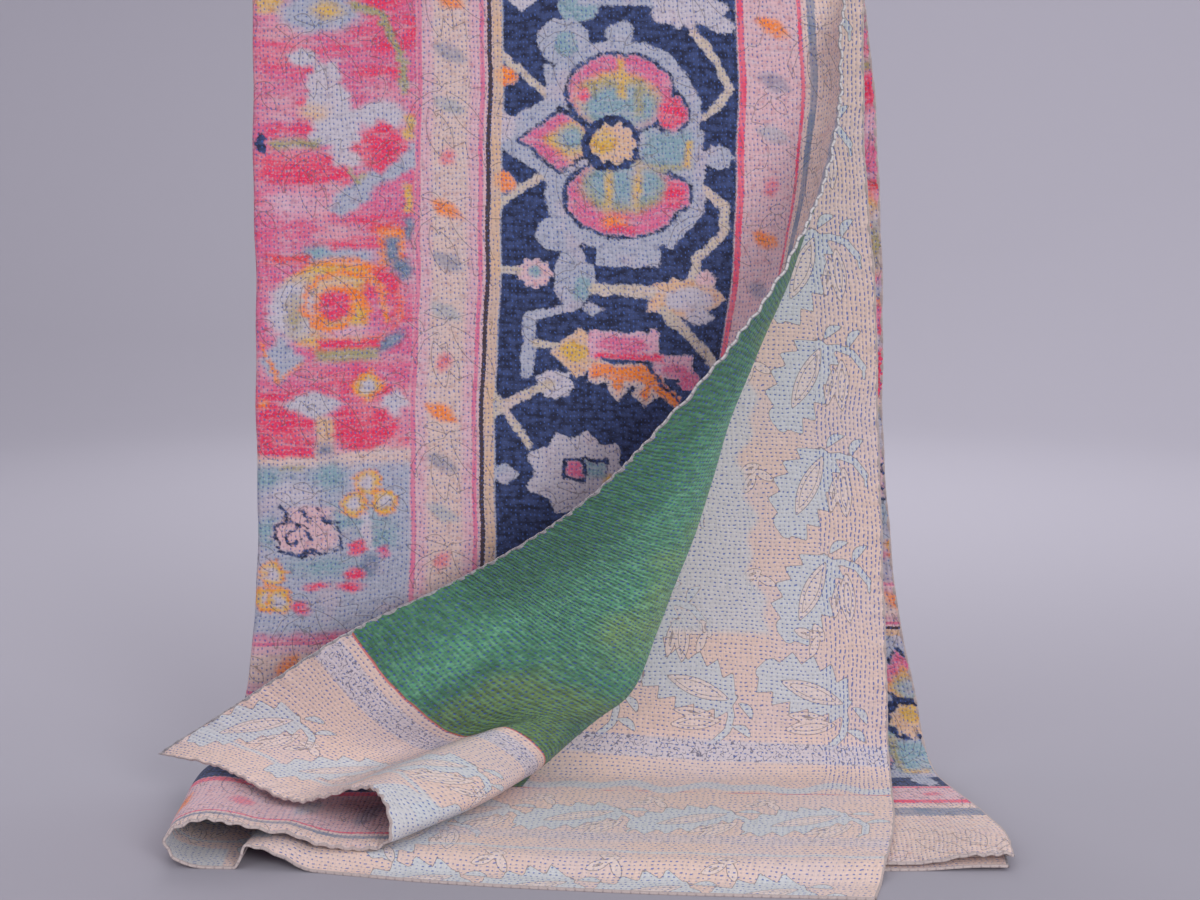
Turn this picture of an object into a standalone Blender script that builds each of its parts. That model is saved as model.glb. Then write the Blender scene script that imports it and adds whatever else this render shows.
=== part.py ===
"""Kantha quilt, folded in half lengthwise and hung over a rod, its lower end lying on the floor.

The quilt is one cloth. A point of it has two flat places, in metres: across, from the free edge of the
front layer (0) past the lengthwise fold to the free edge of the layer behind it, and along, from the front
hem (0) over the rod to the back hem. place_row() says where such points hang, and the mesh is a flat grid
whose points are moved there. X is to the right, -Y towards the front and +Z up.
"""

import math

import bmesh
import bpy
import numpy as np

# The cloth as cut and sewn
WIDTH = 1.48
LENGTH = 2.50
THICKNESS = 0.003
LAYER_GAP = 0.003
LAYER_STEP = THICKNESS + LAYER_GAP

# The fold over the rod and the bends on to the floor, as radii of the inner layer
FRONT_LENGTH = 1.27
ROD_HEIGHT = 0.955
ROD_BEND = 0.019
FRONT_BEND = 0.050
BACK_BEND = 0.060
BACK_FLOOR = THICKNESS / 2 + LAYER_STEP
FRONT_FLOOR = BACK_FLOOR + LAYER_STEP

# On the floor the front layers come down over the back hem, rise in a sharp pleat beside the fold, and
# the back corner arches, its lower layer by a share of the upper one's rise
HEM_DROP = 0.045
HEM_CLEAR = 0.008
PLEAT_RISE = 0.024
CORNER_ARCH = 0.010
LOWER_ARCH_SHARE = 0.4


def table(columns, *rows):
    """Named columns from rows of numbers."""
    return dict(zip(columns.split(), np.array(rows, float).T))


# Sections of the hanging cloth. The lengthwise fold lies at fold_x and takes the cloth at fold_across.
# It is a loop, loop_width deep and loop_height thick, and the layers close again within arch_run. The inner
# layer's free edge lies at edge_x, and the outer one's ends short of it by the stagger.
FRONT_SECTIONS = table(
    "along fold_x fold_across loop_width loop_height arch_run edge_x stagger",
    (0.00, -0.459, 0.728, 0.044, 0.052, 0.150, 0.278, 0.006),
    (0.08, -0.467, 0.728, 0.040, 0.043, 0.150, 0.304, 0.006),
    (0.17, -0.471, 0.728, 0.030, 0.033, 0.120, 0.327, 0.006),
    (0.26, -0.462, 0.728, 0.016, 0.022, 0.090, 0.341, 0.006),
    (0.34, -0.432, 0.728, 0.008, 0.014, 0.060, 0.350, 0.006),
    (0.46, -0.413, 0.729, 0.006, 0.011, 0.050, 0.346, 0.006),
    (0.61, -0.406, 0.731, 0.005, 0.010, 0.050, 0.336, 0.006),
    (0.84, -0.400, 0.734, 0.005, 0.010, 0.050, 0.324, 0.006),
    (1.09, -0.396, 0.737, 0.005, 0.010, 0.050, 0.303, 0.008),
    (1.27, -0.392, 0.740, 0.005, 0.010, 0.050, 0.297, 0.018),
)
# The same behind the rod, where along is measured from the back hem.
BACK_SECTIONS = table(
    "along fold_x fold_across loop_width loop_height arch_run edge_x stagger",
    (0.00, -0.295, 0.738, 0.006, 0.006, 0.050, 0.436, 0.006),
    (0.08, -0.300, 0.738, 0.006, 0.007, 0.050, 0.446, 0.006),
    (0.14, -0.305, 0.738, 0.006, 0.007, 0.050, 0.438, 0.006),
    (0.23, -0.315, 0.738, 0.006, 0.008, 0.050, 0.415, 0.006),
    (0.36, -0.340, 0.738, 0.006, 0.009, 0.050, 0.391, 0.006),
    (0.46, -0.360, 0.738, 0.005, 0.010, 0.050, 0.368, 0.006),
    (0.62, -0.375, 0.739, 0.005, 0.010, 0.050, 0.346, 0.006),
    (0.80, -0.385, 0.739, 0.005, 0.010, 0.050, 0.337, 0.008),
    (1.05, -0.390, 0.740, 0.005, 0.010, 0.050, 0.323, 0.016),
    (1.23, -0.392, 0.740, 0.005, 0.010, 0.050, 0.297, 0.018),
)
# How far each hem lies in front of the cloth that hangs above it.
FRONT_HEM = table(
    "across reach",
    (0.00, 0.335), (0.20, 0.300), (0.41, 0.270), (0.55, 0.266), (0.66, 0.275),
    (0.76, 0.277), (0.87, 0.284), (1.02, 0.314), (1.22, 0.340), (1.48, 0.358),
)
BACK_HEM = table("across reach", (0.00, 0.322), (0.30, 0.322), (0.74, 0.285), (1.22, 0.320), (1.48, 0.319))

# The front layer's lower right corner is turned over to the left. Above the floor it rolls up: it leaves
# the layer at contact_x and turns on the radius about an axis that leans by so many degrees.
ROLL_SECTIONS = table(
    "along contact_x radius lean",
    (0.36, -0.019, 0.041, 17.0),
    (0.46, 0.011, 0.055, 14.0),
    (0.575, 0.029, 0.074, 9.0),
    (0.70, 0.048, 0.091, 5.0),
    (0.81, 0.064, 0.111, 10.0),
    (0.94, 0.120, 0.100, 19.0),
    (1.04, 0.157, 0.092, 19.0),
    (1.11, 0.207, 0.057, 12.0),
    (1.18, 0.228, 0.040, 5.0),
    (1.24, 0.262, 0.100, 0.0),
)
ROLL_TURN = math.radians(186)
ROLL_POINTS = (0.12, 0.24, 0.47, 0.73, 1.0)
# Near the floor it lies in a thick roll with a hollow behind it: x, y and z of the cloth in each section
# where it leaves the layer, at the roll's side and crest, in the hollow, half way on, and at the free edge.
CORNER_ALONG = (0.0, 0.125, 0.25)
CORNER_SECTIONS = {
    "contact": ((-0.238, -0.289, 0.020), (-0.148, -0.185, 0.020), (-0.082, -0.085, 0.020)),
    "side": ((-0.222, -0.294, 0.036), (-0.124, -0.175, 0.036), (-0.066, -0.085, 0.050)),
    "crest": ((-0.232, -0.270, 0.067), (-0.178, -0.175, 0.082), (-0.106, -0.105, 0.091)),
    "hollow": ((-0.346, -0.200, 0.040), (-0.257, -0.135, 0.055), (-0.158, -0.080, 0.073)),
    "middle": ((-0.436, -0.145, 0.059), (-0.320, -0.130, 0.084), (-0.219, -0.120, 0.128)),
    "edge": ((-0.516, -0.100, 0.059), (-0.395, -0.125, 0.141), (-0.280, -0.150, 0.220)),
}
LEAD = 0.030


def ease(x, start, end):
    """0 before start, 1 after end, and a soft slope between."""
    t = np.clip((x - start) / (end - start), 0.0, 1.0)
    return t * t * (3 - 2 * t)


def flow(knots, values, at, tight=False):
    """A smooth curve through values at rising knots. A tight one never swings past its values."""
    knots = np.asarray(knots, float)
    values = np.asarray(values, float)
    shape = values.shape[1:]
    values = values.reshape(len(knots), -1)
    gap = np.diff(knots)[:, None]
    slope = np.diff(values, axis=0) / gap
    lean = np.vstack([slope[:1], (slope[:-1] * gap[1:] + slope[1:] * gap[:-1]) / (gap[1:] + gap[:-1]), slope[-1:]])
    if tight:
        least = 3 * np.minimum(np.abs(slope[:-1]), np.abs(slope[1:]))
        same_way = slope[:-1] * slope[1:] > 0
        lean[1:-1] = np.where(same_way, np.sign(slope[1:]) * np.minimum(np.abs(lean[1:-1]), least), 0.0)
    at = np.clip(np.asarray(at, float), knots[0], knots[-1])
    i = np.clip(np.searchsorted(knots, at, side="right") - 1, 0, len(knots) - 2)
    h = gap[i]
    t = (at - knots[i])[..., None] / h
    start, end = values[i], values[i + 1]
    out = (2 * t**3 - 3 * t**2 + 1) * start + (3 * t**2 - 2 * t**3) * end
    out += ((t**3 - 2 * t**2 + t) * lean[i] + (t**3 - t**2) * lean[i + 1]) * h
    return out.reshape(at.shape + shape)


def read(sections, column, at):
    first = next(iter(sections.values()))
    return flow(first, sections[column], at, tight=True)


def over_the_rod(run, out):
    """(y, z) at a distance run down from the top of the rod, + to the front, and out from the inner layer."""
    run, out = np.broadcast_arrays(np.asarray(run, float), np.asarray(out, float))
    front = run >= 0
    side = np.where(front, -1.0, 1.0)
    bend = np.where(front, FRONT_BEND, BACK_BEND)
    floor = np.where(front, FRONT_FLOOR, BACK_FLOOR)
    far = np.abs(run) - math.pi / 2 * ROD_BEND
    drop = ROD_HEIGHT - floor - bend
    turn = np.clip(far / ROD_BEND + math.pi / 2, 0, math.pi / 2)
    y = side * (ROD_BEND + out) * np.sin(turn)
    z = ROD_HEIGHT + (ROD_BEND + out) * np.cos(turn) - np.clip(far, 0, drop)
    turn = np.clip((far - drop) / bend, 0, math.pi / 2)
    radius = np.where(front, bend - out, bend + out)
    laid = np.clip(far - drop - bend * math.pi / 2, 0, None)
    bent = far > drop
    y = np.where(bent, side * ROD_BEND - bend + radius * np.cos(turn) - laid, y)
    z = np.where(bent, floor + bend - radius * np.sin(turn), z)
    return y, z


def hanging_length(across, front):
    """From the top of the rod down to the floor and along it to the hem."""
    hem, floor, bend = (FRONT_HEM, FRONT_FLOOR, FRONT_BEND) if front else (BACK_HEM, BACK_FLOOR, BACK_BEND)
    reach = read(hem, "reach", across)
    return math.pi / 2 * (ROD_BEND + bend) + ROD_HEIGHT - floor - bend + reach - bend


def back_hem_y(x):
    """Where the back hem lies under the front layers."""
    hem = {name: values[0] for name, values in BACK_SECTIONS.items()}
    share = (x - hem["fold_x"]) / (hem["edge_x"] - hem["fold_x"])
    return ROD_BEND - read(BACK_HEM, "reach", hem["fold_across"] + share * (WIDTH - hem["fold_across"]))


def front_rise(x, y):
    """How far the front layers lie above their plain course: less where nothing lies under them."""
    over_hem = ease(y, back_hem_y(x) - HEM_DROP, back_hem_y(x) - HEM_CLEAR)
    on_back_part = ease(x, -0.375, -0.325) * over_hem
    lower = (1 - on_back_part) * (1 - ease(y, -0.20, -0.08))
    return -(FRONT_FLOOR - THICKNESS / 2) * lower


def pleat_rise(x, y):
    """How far the front's inner layer rises in the sharp pleat beside the fold."""
    across_pleat = ease(x, -0.387, -0.372) * (1 - ease(x, -0.370, -0.300))
    return PLEAT_RISE * across_pleat * (1 - ease(y, -0.300, -0.160))


def back_rise(x, from_hem):
    """How far the back's inner layer arches at its corner."""
    arch = ease(x, 0.33, 0.405) * (1 - 0.5 * ease(x, 0.425, 0.450))
    return CORNER_ARCH * arch * (1 - ease(from_hem, 0.02, 0.13))


def section(along):
    """The numbers that shape one cross row."""
    front = along <= FRONT_LENGTH
    sections = FRONT_SECTIONS if front else BACK_SECTIONS
    from_hem = along if front else LENGTH - along
    row = {name: float(read(sections, name, from_hem)) for name in list(sections)[1:]}
    row["front"], row["from_hem"] = front, from_hem
    row["loop"] = math.pi * math.sqrt((row["loop_width"] ** 2 + (row["loop_height"] / 2) ** 2) / 2)
    row["loop_end"] = row["fold_x"] + row["loop_width"]
    return row


def lay(across, along):
    """Where the points of one cross row hang, before the corner is turned."""
    row = section(along)
    across = np.asarray(across, float)
    outer = across < row["fold_across"]
    beyond = np.abs(across - row["fold_across"]) - row["loop"] / 2
    flat = np.where(outer, row["fold_across"], WIDTH - row["fold_across"]) - row["loop"] / 2
    edge = row["edge_x"] - np.where(outer, row["stagger"], 0.0)
    x = row["loop_end"] + beyond * (edge - row["loop_end"]) / flat
    turn = np.clip(1 + beyond / (row["loop"] / 2), 0, 1) * math.pi / 2
    looped = beyond < 0
    x = np.where(looped, row["fold_x"] + row["loop_width"] * (1 - np.cos(turn)), x)
    close = ease(x, row["loop_end"], row["loop_end"] + row["arch_run"])
    apart = row["loop_height"] + (LAYER_STEP - row["loop_height"]) * close
    length = hanging_length(across, row["front"])
    if row["front"]:
        run = length * (1 - along / FRONT_LENGTH)
        course_y = over_the_rod(run, 0.0)[0]
        rise = front_rise(np.maximum(x, row["loop_end"]), course_y)
        inner, over = rise + pleat_rise(x, course_y), rise
    else:
        run = -length * (along - FRONT_LENGTH) / (LENGTH - FRONT_LENGTH)
        lift = (apart - LAYER_STEP) * (1 - ease(row["from_hem"], 0.45, 0.70))
        arch = back_rise(x, row["from_hem"])
        rise = -arch - lift
        inner, over = rise, -arch * LOWER_ARCH_SHARE - lift
    looping = rise + row["loop_height"] / 2 * (1 + np.where(outer, 1, -1) * np.sin(turn))
    out = np.where(looped, looping, np.where(outer, over + apart, inner))
    y, z = over_the_rod(run, out)
    return np.stack([x, y, z], axis=-1)


def across_at(x, along):
    """The flat place across of the front layer at x, past the loop of the fold."""
    row = section(along)
    flat = row["fold_across"] - row["loop"] / 2
    return flat - (x - row["loop_end"]) * flat / (row["edge_x"] - row["stagger"] - row["loop_end"])


def rolled_guides(along, contact_x, radius, lean):
    """Guide points of the turned corner where it rolls up."""
    lean = math.radians(lean)
    turned = across_at(contact_x, along)
    contact = lay(turned, along)
    up = np.array([math.sin(lean), 0.0, math.cos(lean)])
    right = np.array([math.cos(lean), 0.0, -math.sin(lean)])
    forward = np.array([0.0, -1.0, 0.0])
    guides = [contact]
    for share in ROLL_POINTS:
        length = turned * share * math.cos(lean)
        turn = min(length / radius, ROLL_TURN)
        rest = length - turn * radius
        guides.append(
            contact
            + turned * share * math.sin(lean) * up
            + (radius * math.sin(turn) + rest * math.cos(turn)) * right
            + (radius * (1 - math.cos(turn)) + rest * math.sin(turn)) * forward
        )
    return guides


def corner_guides():
    """The along places of the corner's sections, and the guide points of each."""
    laid = list(zip(*CORNER_SECTIONS.values()))
    rolled = [rolled_guides(*row) for row in zip(*ROLL_SECTIONS.values())]
    return np.append(CORNER_ALONG, ROLL_SECTIONS["along"]), np.array(laid + rolled)


CORNER_KNOTS, CORNER_GUIDES = corner_guides()


def turned_width(along):
    """How much of the front layer's width is turned over."""
    if along >= CORNER_KNOTS[-1]:
        return 0.0
    return across_at(flow(CORNER_KNOTS, CORNER_GUIDES, along)[0, 0], along)


def place_row(across, along):
    """Where the points of one cross row hang."""
    across = np.asarray(across, float)
    points = lay(across, along)
    turned = turned_width(along)
    if turned <= 0:
        return points
    guides = flow(CORNER_KNOTS, CORNER_GUIDES, along)
    guides[0] = lay(turned, along)
    steps = np.linalg.norm(np.diff(guides, axis=0), axis=1)
    knots = np.append(0.0, np.cumsum(steps)) / steps.sum() * turned
    knots = np.append(-LEAD, knots)
    guides = np.vstack([lay(turned + LEAD, along), guides])
    corner = across < turned
    points[corner] = flow(knots, guides, turned - across[corner])
    return points


# The flat grid. A row's columns follow the turned corner and the fold, and the rows close up where the
# cloth bends. The corner's columns are shares of its width, closer where it leaves the layer.
CORNER_SHARES = (0.0, 0.10, 0.21, 0.32, 0.43, 0.54, 0.64, 0.72, 0.79, 0.85, 0.90, 0.95, 1.0)
INNER_SHARES = (0.14, 0.28, 0.42, 0.56, 0.69, 0.80, 0.88, 0.94, 1.0)
LEAST_TURNED = 0.10
FRONT_COLUMNS = 6
FRONT_ARCH_COLUMNS = 3
LOOP_COLUMNS = 6
INNER_ARCH_COLUMNS = 7
ROW_RUNS = table(
    "start count",
    (0.00, 10),
    (0.20, 10),
    (0.40, 17),
    (1.20, 1),
    (1.24, 8),
    (1.30, 1),
    (1.34, 6),
    (2.12, 7),
    (2.28, 5),
)


def row_places():
    """The flat place along of every row of the grid."""
    ends = np.append(ROW_RUNS["start"][1:], LENGTH)
    runs = [
        np.linspace(start, end, int(count), endpoint=False)
        for start, end, count in zip(ROW_RUNS["start"], ends, ROW_RUNS["count"])
    ]
    return np.append(np.concatenate(runs), LENGTH)


def column_places(along):
    """The flat place across of every point of one row."""
    row = section(along)
    corner = max(turned_width(along), LEAST_TURNED) * np.array(CORNER_SHARES)
    near_loop = row["fold_across"] - row["loop"] / 2
    far_loop = row["fold_across"] + row["loop"] / 2
    near_arch = max(near_loop - row["arch_run"], 0.65 * corner[-1] + 0.35 * near_loop)
    stretches = (
        (corner[-1], near_arch, FRONT_COLUMNS),
        (near_arch, near_loop, FRONT_ARCH_COLUMNS),
        (near_loop, far_loop, LOOP_COLUMNS),
        (far_loop, far_loop + row["arch_run"], INNER_ARCH_COLUMNS),
    )
    between = [np.linspace(start, end, count + 1)[1:] for start, end, count in stretches]
    inner = between[-1][-1] + (WIDTH - between[-1][-1]) * np.array(INNER_SHARES)
    return np.concatenate([corner, *between, inner])


# ---- The solid


def clear_scene():
    for thing in list(bpy.data.objects):
        bpy.data.objects.remove(thing, do_unlink=True)


def dyed_cotton():
    material = bpy.data.materials.new("printed cotton")
    material.use_nodes = True
    shader = material.node_tree.nodes["Principled BSDF"]
    shader.inputs["Base Color"].default_value = (0.56, 0.42, 0.42, 1.0)
    shader.inputs["Roughness"].default_value = 0.92
    shader.inputs["Metallic"].default_value = 0.0
    return material


def draped_sheet(name):
    """The middle surface of the cloth: a flat grid with its points moved to where they hang."""
    rows = row_places()
    columns = len(column_places(0.0))
    cloth = bmesh.new()
    bmesh.ops.create_grid(cloth, x_segments=columns - 1, y_segments=len(rows) - 1, size=0.5)
    cloth.verts.ensure_lookup_table()
    places = np.concatenate([place_row(column_places(along), along) for along in rows])
    for vert, place in zip(cloth.verts, places):
        vert.co = place
    mesh = bpy.data.meshes.new(name)
    cloth.to_mesh(mesh)
    cloth.free()
    mesh.shade_smooth()
    return mesh


def thicken(quilt):
    solid = quilt.modifiers.new("cloth thickness", "SOLIDIFY")
    solid.thickness = THICKNESS
    solid.offset = 0.0


def stand_on_origin(quilt):
    """Puts the footprint's middle on the origin and the lowest cloth on the floor."""
    evaluated = quilt.evaluated_get(bpy.context.evaluated_depsgraph_get())
    corners = np.array([corner[:] for corner in evaluated.bound_box])
    low, high = corners.min(axis=0), corners.max(axis=0)
    middle = (low + high) / 2
    for vert in quilt.data.vertices:
        vert.co.x -= middle[0]
        vert.co.y -= middle[1]
        vert.co.z -= low[2]


def main():
    clear_scene()
    quilt = bpy.data.objects.new("quilt", draped_sheet("quilt"))
    bpy.context.scene.collection.objects.link(quilt)
    quilt.data.materials.append(dyed_cotton())
    thicken(quilt)
    stand_on_origin(quilt)


main()
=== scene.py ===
# %% [markdown]
# # A kantha quilt, folded and hung
# A kantha quilt is several layers of old printed cotton, held together by rows of running stitches.
# This one is folded in half lengthwise and hung over a rod, and its lower end lies forward on the floor.
# The lesson builds it as its maker did: printed cloths, sewn edge to edge, on the two faces of one sheet.

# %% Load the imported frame
import math

import bmesh
import bpy
import numpy as np
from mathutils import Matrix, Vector


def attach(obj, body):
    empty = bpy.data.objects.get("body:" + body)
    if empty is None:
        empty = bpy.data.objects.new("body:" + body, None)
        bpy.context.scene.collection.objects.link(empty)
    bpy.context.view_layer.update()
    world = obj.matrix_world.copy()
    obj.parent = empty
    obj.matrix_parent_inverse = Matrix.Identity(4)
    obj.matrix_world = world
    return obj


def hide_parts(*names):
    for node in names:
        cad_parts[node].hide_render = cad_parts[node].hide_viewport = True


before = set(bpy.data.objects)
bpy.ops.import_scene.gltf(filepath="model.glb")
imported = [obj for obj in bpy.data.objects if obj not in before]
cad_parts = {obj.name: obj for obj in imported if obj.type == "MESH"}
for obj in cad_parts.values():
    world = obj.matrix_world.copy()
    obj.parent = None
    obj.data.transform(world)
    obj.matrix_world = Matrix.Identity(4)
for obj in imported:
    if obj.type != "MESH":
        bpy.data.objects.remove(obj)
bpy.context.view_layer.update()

# %% [markdown]
# ## How the cloth hangs
# Cloth bends but hardly stretches, so each of its points keeps its flat place: how far across from the
# front layer's free edge, and how far along from the front hem. A simulation could drape it, but a folded
# stack of four layers in it takes long and seldom lands where the real one lies. Named sections do: they
# say where the fold, the edges and the turned corner are at each height, and smooth curves join them.

# %% The cloth's sizes
WIDTH = 1.48
LENGTH = 2.50
THICKNESS = 0.003
LAYER_GAP = 0.003
LAYER_STEP = THICKNESS + LAYER_GAP
FRONT_LENGTH = 1.27
ROD_HEIGHT = 0.955
ROD_BEND = 0.019
FRONT_BEND = 0.050
BACK_BEND = 0.060
BACK_FLOOR = THICKNESS / 2 + LAYER_STEP
FRONT_FLOOR = BACK_FLOOR + LAYER_STEP
HEM_DROP = 0.045
HEM_CLEAR = 0.008
PLEAT_RISE = 0.024
CORNER_ARCH = 0.010
LOWER_ARCH_SHARE = 0.4
FOOTPRINT_SHIFT = np.array([0.0354, 0.1733, 0.0])

print("folded, it is", WIDTH / 2, "m wide, with", FRONT_LENGTH, "m in front of the rod")

# %% Sections of the hanging cloth
def table(columns, *rows):
    """Named columns from rows of numbers."""
    return dict(zip(columns.split(), np.array(rows, float).T))


# The lengthwise fold lies at fold_x and takes the cloth at fold_across. It is a loop, loop_width deep and
# loop_height thick, and the layers close again within arch_run. The inner layer's free edge lies at edge_x,
# and the outer one's ends short of it by the stagger.
FRONT_SECTIONS = table(
    "along fold_x fold_across loop_width loop_height arch_run edge_x stagger",
    (0.00, -0.459, 0.728, 0.044, 0.052, 0.150, 0.278, 0.006),
    (0.08, -0.467, 0.728, 0.040, 0.043, 0.150, 0.304, 0.006),
    (0.17, -0.471, 0.728, 0.030, 0.033, 0.120, 0.327, 0.006),
    (0.26, -0.462, 0.728, 0.016, 0.022, 0.090, 0.341, 0.006),
    (0.34, -0.432, 0.728, 0.008, 0.014, 0.060, 0.350, 0.006),
    (0.46, -0.413, 0.729, 0.006, 0.011, 0.050, 0.346, 0.006),
    (0.61, -0.406, 0.731, 0.005, 0.010, 0.050, 0.336, 0.006),
    (0.84, -0.400, 0.734, 0.005, 0.010, 0.050, 0.324, 0.006),
    (1.09, -0.396, 0.737, 0.005, 0.010, 0.050, 0.303, 0.008),
    (1.27, -0.392, 0.740, 0.005, 0.010, 0.050, 0.297, 0.018),
)
# The same behind the rod, where along is measured from the back hem.
BACK_SECTIONS = table(
    "along fold_x fold_across loop_width loop_height arch_run edge_x stagger",
    (0.00, -0.295, 0.738, 0.006, 0.006, 0.050, 0.436, 0.006),
    (0.08, -0.300, 0.738, 0.006, 0.007, 0.050, 0.446, 0.006),
    (0.14, -0.305, 0.738, 0.006, 0.007, 0.050, 0.438, 0.006),
    (0.23, -0.315, 0.738, 0.006, 0.008, 0.050, 0.415, 0.006),
    (0.36, -0.340, 0.738, 0.006, 0.009, 0.050, 0.391, 0.006),
    (0.46, -0.360, 0.738, 0.005, 0.010, 0.050, 0.368, 0.006),
    (0.62, -0.375, 0.739, 0.005, 0.010, 0.050, 0.346, 0.006),
    (0.80, -0.385, 0.739, 0.005, 0.010, 0.050, 0.337, 0.008),
    (1.05, -0.390, 0.740, 0.005, 0.010, 0.050, 0.323, 0.016),
    (1.23, -0.392, 0.740, 0.005, 0.010, 0.050, 0.297, 0.018),
)
# How far each hem lies in front of the cloth that hangs above it.
FRONT_HEM = table(
    "across reach",
    (0.00, 0.335), (0.20, 0.300), (0.41, 0.270), (0.55, 0.266), (0.66, 0.275),
    (0.76, 0.277), (0.87, 0.284), (1.02, 0.314), (1.22, 0.340), (1.48, 0.358),
)
BACK_HEM = table("across reach", (0.00, 0.322), (0.30, 0.322), (0.74, 0.285), (1.22, 0.320), (1.48, 0.319))
print(len(FRONT_SECTIONS["along"]), "sections in front of the rod and", len(BACK_SECTIONS["along"]), "behind")


# %% Sections of the turned corner
# The front layer's lower right corner is turned over to the left. Above the floor it rolls up: it leaves
# the layer at contact_x and turns on the radius about an axis that leans by so many degrees.
ROLL_SECTIONS = table(
    "along contact_x radius lean",
    (0.36, -0.019, 0.041, 17.0),
    (0.46, 0.011, 0.055, 14.0),
    (0.575, 0.029, 0.074, 9.0),
    (0.70, 0.048, 0.091, 5.0),
    (0.81, 0.064, 0.111, 10.0),
    (0.94, 0.120, 0.100, 19.0),
    (1.04, 0.157, 0.092, 19.0),
    (1.11, 0.207, 0.057, 12.0),
    (1.18, 0.228, 0.040, 5.0),
    (1.24, 0.262, 0.100, 0.0),
)
ROLL_TURN = math.radians(186)
ROLL_POINTS = (0.12, 0.24, 0.47, 0.73, 1.0)
# Near the floor it lies in a thick roll with a hollow behind it: x, y and z of the cloth in each section
# where it leaves the layer, at the roll's side and crest, in the hollow, half way on, and at the free edge.
CORNER_ALONG = (0.0, 0.125, 0.25)
CORNER_SECTIONS = {
    "contact": ((-0.238, -0.289, 0.020), (-0.148, -0.185, 0.020), (-0.082, -0.085, 0.020)),
    "side": ((-0.222, -0.294, 0.036), (-0.124, -0.175, 0.036), (-0.066, -0.085, 0.050)),
    "crest": ((-0.232, -0.270, 0.067), (-0.178, -0.175, 0.082), (-0.106, -0.105, 0.091)),
    "hollow": ((-0.346, -0.200, 0.040), (-0.257, -0.135, 0.055), (-0.158, -0.080, 0.073)),
    "middle": ((-0.436, -0.145, 0.059), (-0.320, -0.130, 0.084), (-0.219, -0.120, 0.128)),
    "edge": ((-0.516, -0.100, 0.059), (-0.395, -0.125, 0.141), (-0.280, -0.150, 0.220)),
}
LEAD = 0.030


# %% Smooth curves between the sections
def ease(x, start, end):
    """0 before start, 1 after end, and a soft slope between."""
    t = np.clip((x - start) / (end - start), 0.0, 1.0)
    return t * t * (3 - 2 * t)


def flow(knots, values, at, tight=False):
    """A smooth curve through values at rising knots. A tight one never swings past its values."""
    knots = np.asarray(knots, float)
    values = np.asarray(values, float)
    shape = values.shape[1:]
    values = values.reshape(len(knots), -1)
    gap = np.diff(knots)[:, None]
    slope = np.diff(values, axis=0) / gap
    between = (slope[:-1] * gap[1:] + slope[1:] * gap[:-1]) / (gap[1:] + gap[:-1])
    lean = np.vstack([slope[:1], between, slope[-1:]])
    if tight:
        least = 3 * np.minimum(np.abs(slope[:-1]), np.abs(slope[1:]))
        same_way = slope[:-1] * slope[1:] > 0
        lean[1:-1] = np.where(same_way, np.sign(slope[1:]) * np.minimum(np.abs(lean[1:-1]), least), 0.0)
    at = np.clip(np.asarray(at, float), knots[0], knots[-1])
    i = np.clip(np.searchsorted(knots, at, side="right") - 1, 0, len(knots) - 2)
    h = gap[i]
    t = (at - knots[i])[..., None] / h
    start, end = values[i], values[i + 1]
    out = (2 * t**3 - 3 * t**2 + 1) * start + (3 * t**2 - 2 * t**3) * end
    out += ((t**3 - 2 * t**2 + t) * lean[i] + (t**3 - t**2) * lean[i + 1]) * h
    return out.reshape(at.shape + shape)


def read(sections, column, at):
    """One column of a table of sections, at any place between them."""
    first = next(iter(sections.values()))
    return flow(first, sections[column], at, tight=True)


# %% The course over the rod and down to the floor
def over_the_rod(run, out):
    """(y, z) at a distance run down from the top of the rod, + to the front, and out from the inner layer."""
    run, out = np.broadcast_arrays(np.asarray(run, float), np.asarray(out, float))
    front = run >= 0
    side = np.where(front, -1.0, 1.0)
    bend = np.where(front, FRONT_BEND, BACK_BEND)
    floor = np.where(front, FRONT_FLOOR, BACK_FLOOR)
    far = np.abs(run) - math.pi / 2 * ROD_BEND
    drop = ROD_HEIGHT - floor - bend
    turn = np.clip(far / ROD_BEND + math.pi / 2, 0, math.pi / 2)
    y = side * (ROD_BEND + out) * np.sin(turn)
    z = ROD_HEIGHT + (ROD_BEND + out) * np.cos(turn) - np.clip(far, 0, drop)
    turn = np.clip((far - drop) / bend, 0, math.pi / 2)
    radius = np.where(front, bend - out, bend + out)
    laid = np.clip(far - drop - bend * math.pi / 2, 0, None)
    bent = far > drop
    y = np.where(bent, side * ROD_BEND - bend + radius * np.cos(turn) - laid, y)
    z = np.where(bent, floor + bend - radius * np.sin(turn), z)
    return y, z


def hanging_length(across, front):
    """From the top of the rod down to the floor and along it to the hem."""
    hem, floor, bend = (FRONT_HEM, FRONT_FLOOR, FRONT_BEND) if front else (BACK_HEM, BACK_FLOOR, BACK_BEND)
    reach = read(hem, "reach", across)
    return math.pi / 2 * (ROD_BEND + bend) + ROD_HEIGHT - floor - bend + reach - bend


# %% How far the layers rise
# Each pair is where a soft step starts and ends, in metres: on the floor, or from the hem in the last two.
BACK_PART_SIDE = (-0.375, -0.325)
FRONT_SETTLES = (-0.20, -0.08)
PLEAT_SIDE = (-0.387, -0.372)
PLEAT_SLOPE = (-0.370, -0.300)
PLEAT_FADE = (-0.300, -0.160)
ARCH_SIDE = (0.33, 0.405)
ARCH_EDGE = (0.425, 0.450)
ARCH_FADE = (0.02, 0.13)
LIFT_FADE = (0.45, 0.70)


def back_hem_y(x):
    """Where the back hem lies under the front layers."""
    hem = {name: values[0] for name, values in BACK_SECTIONS.items()}
    share = (x - hem["fold_x"]) / (hem["edge_x"] - hem["fold_x"])
    return ROD_BEND - read(BACK_HEM, "reach", hem["fold_across"] + share * (WIDTH - hem["fold_across"]))


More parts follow.
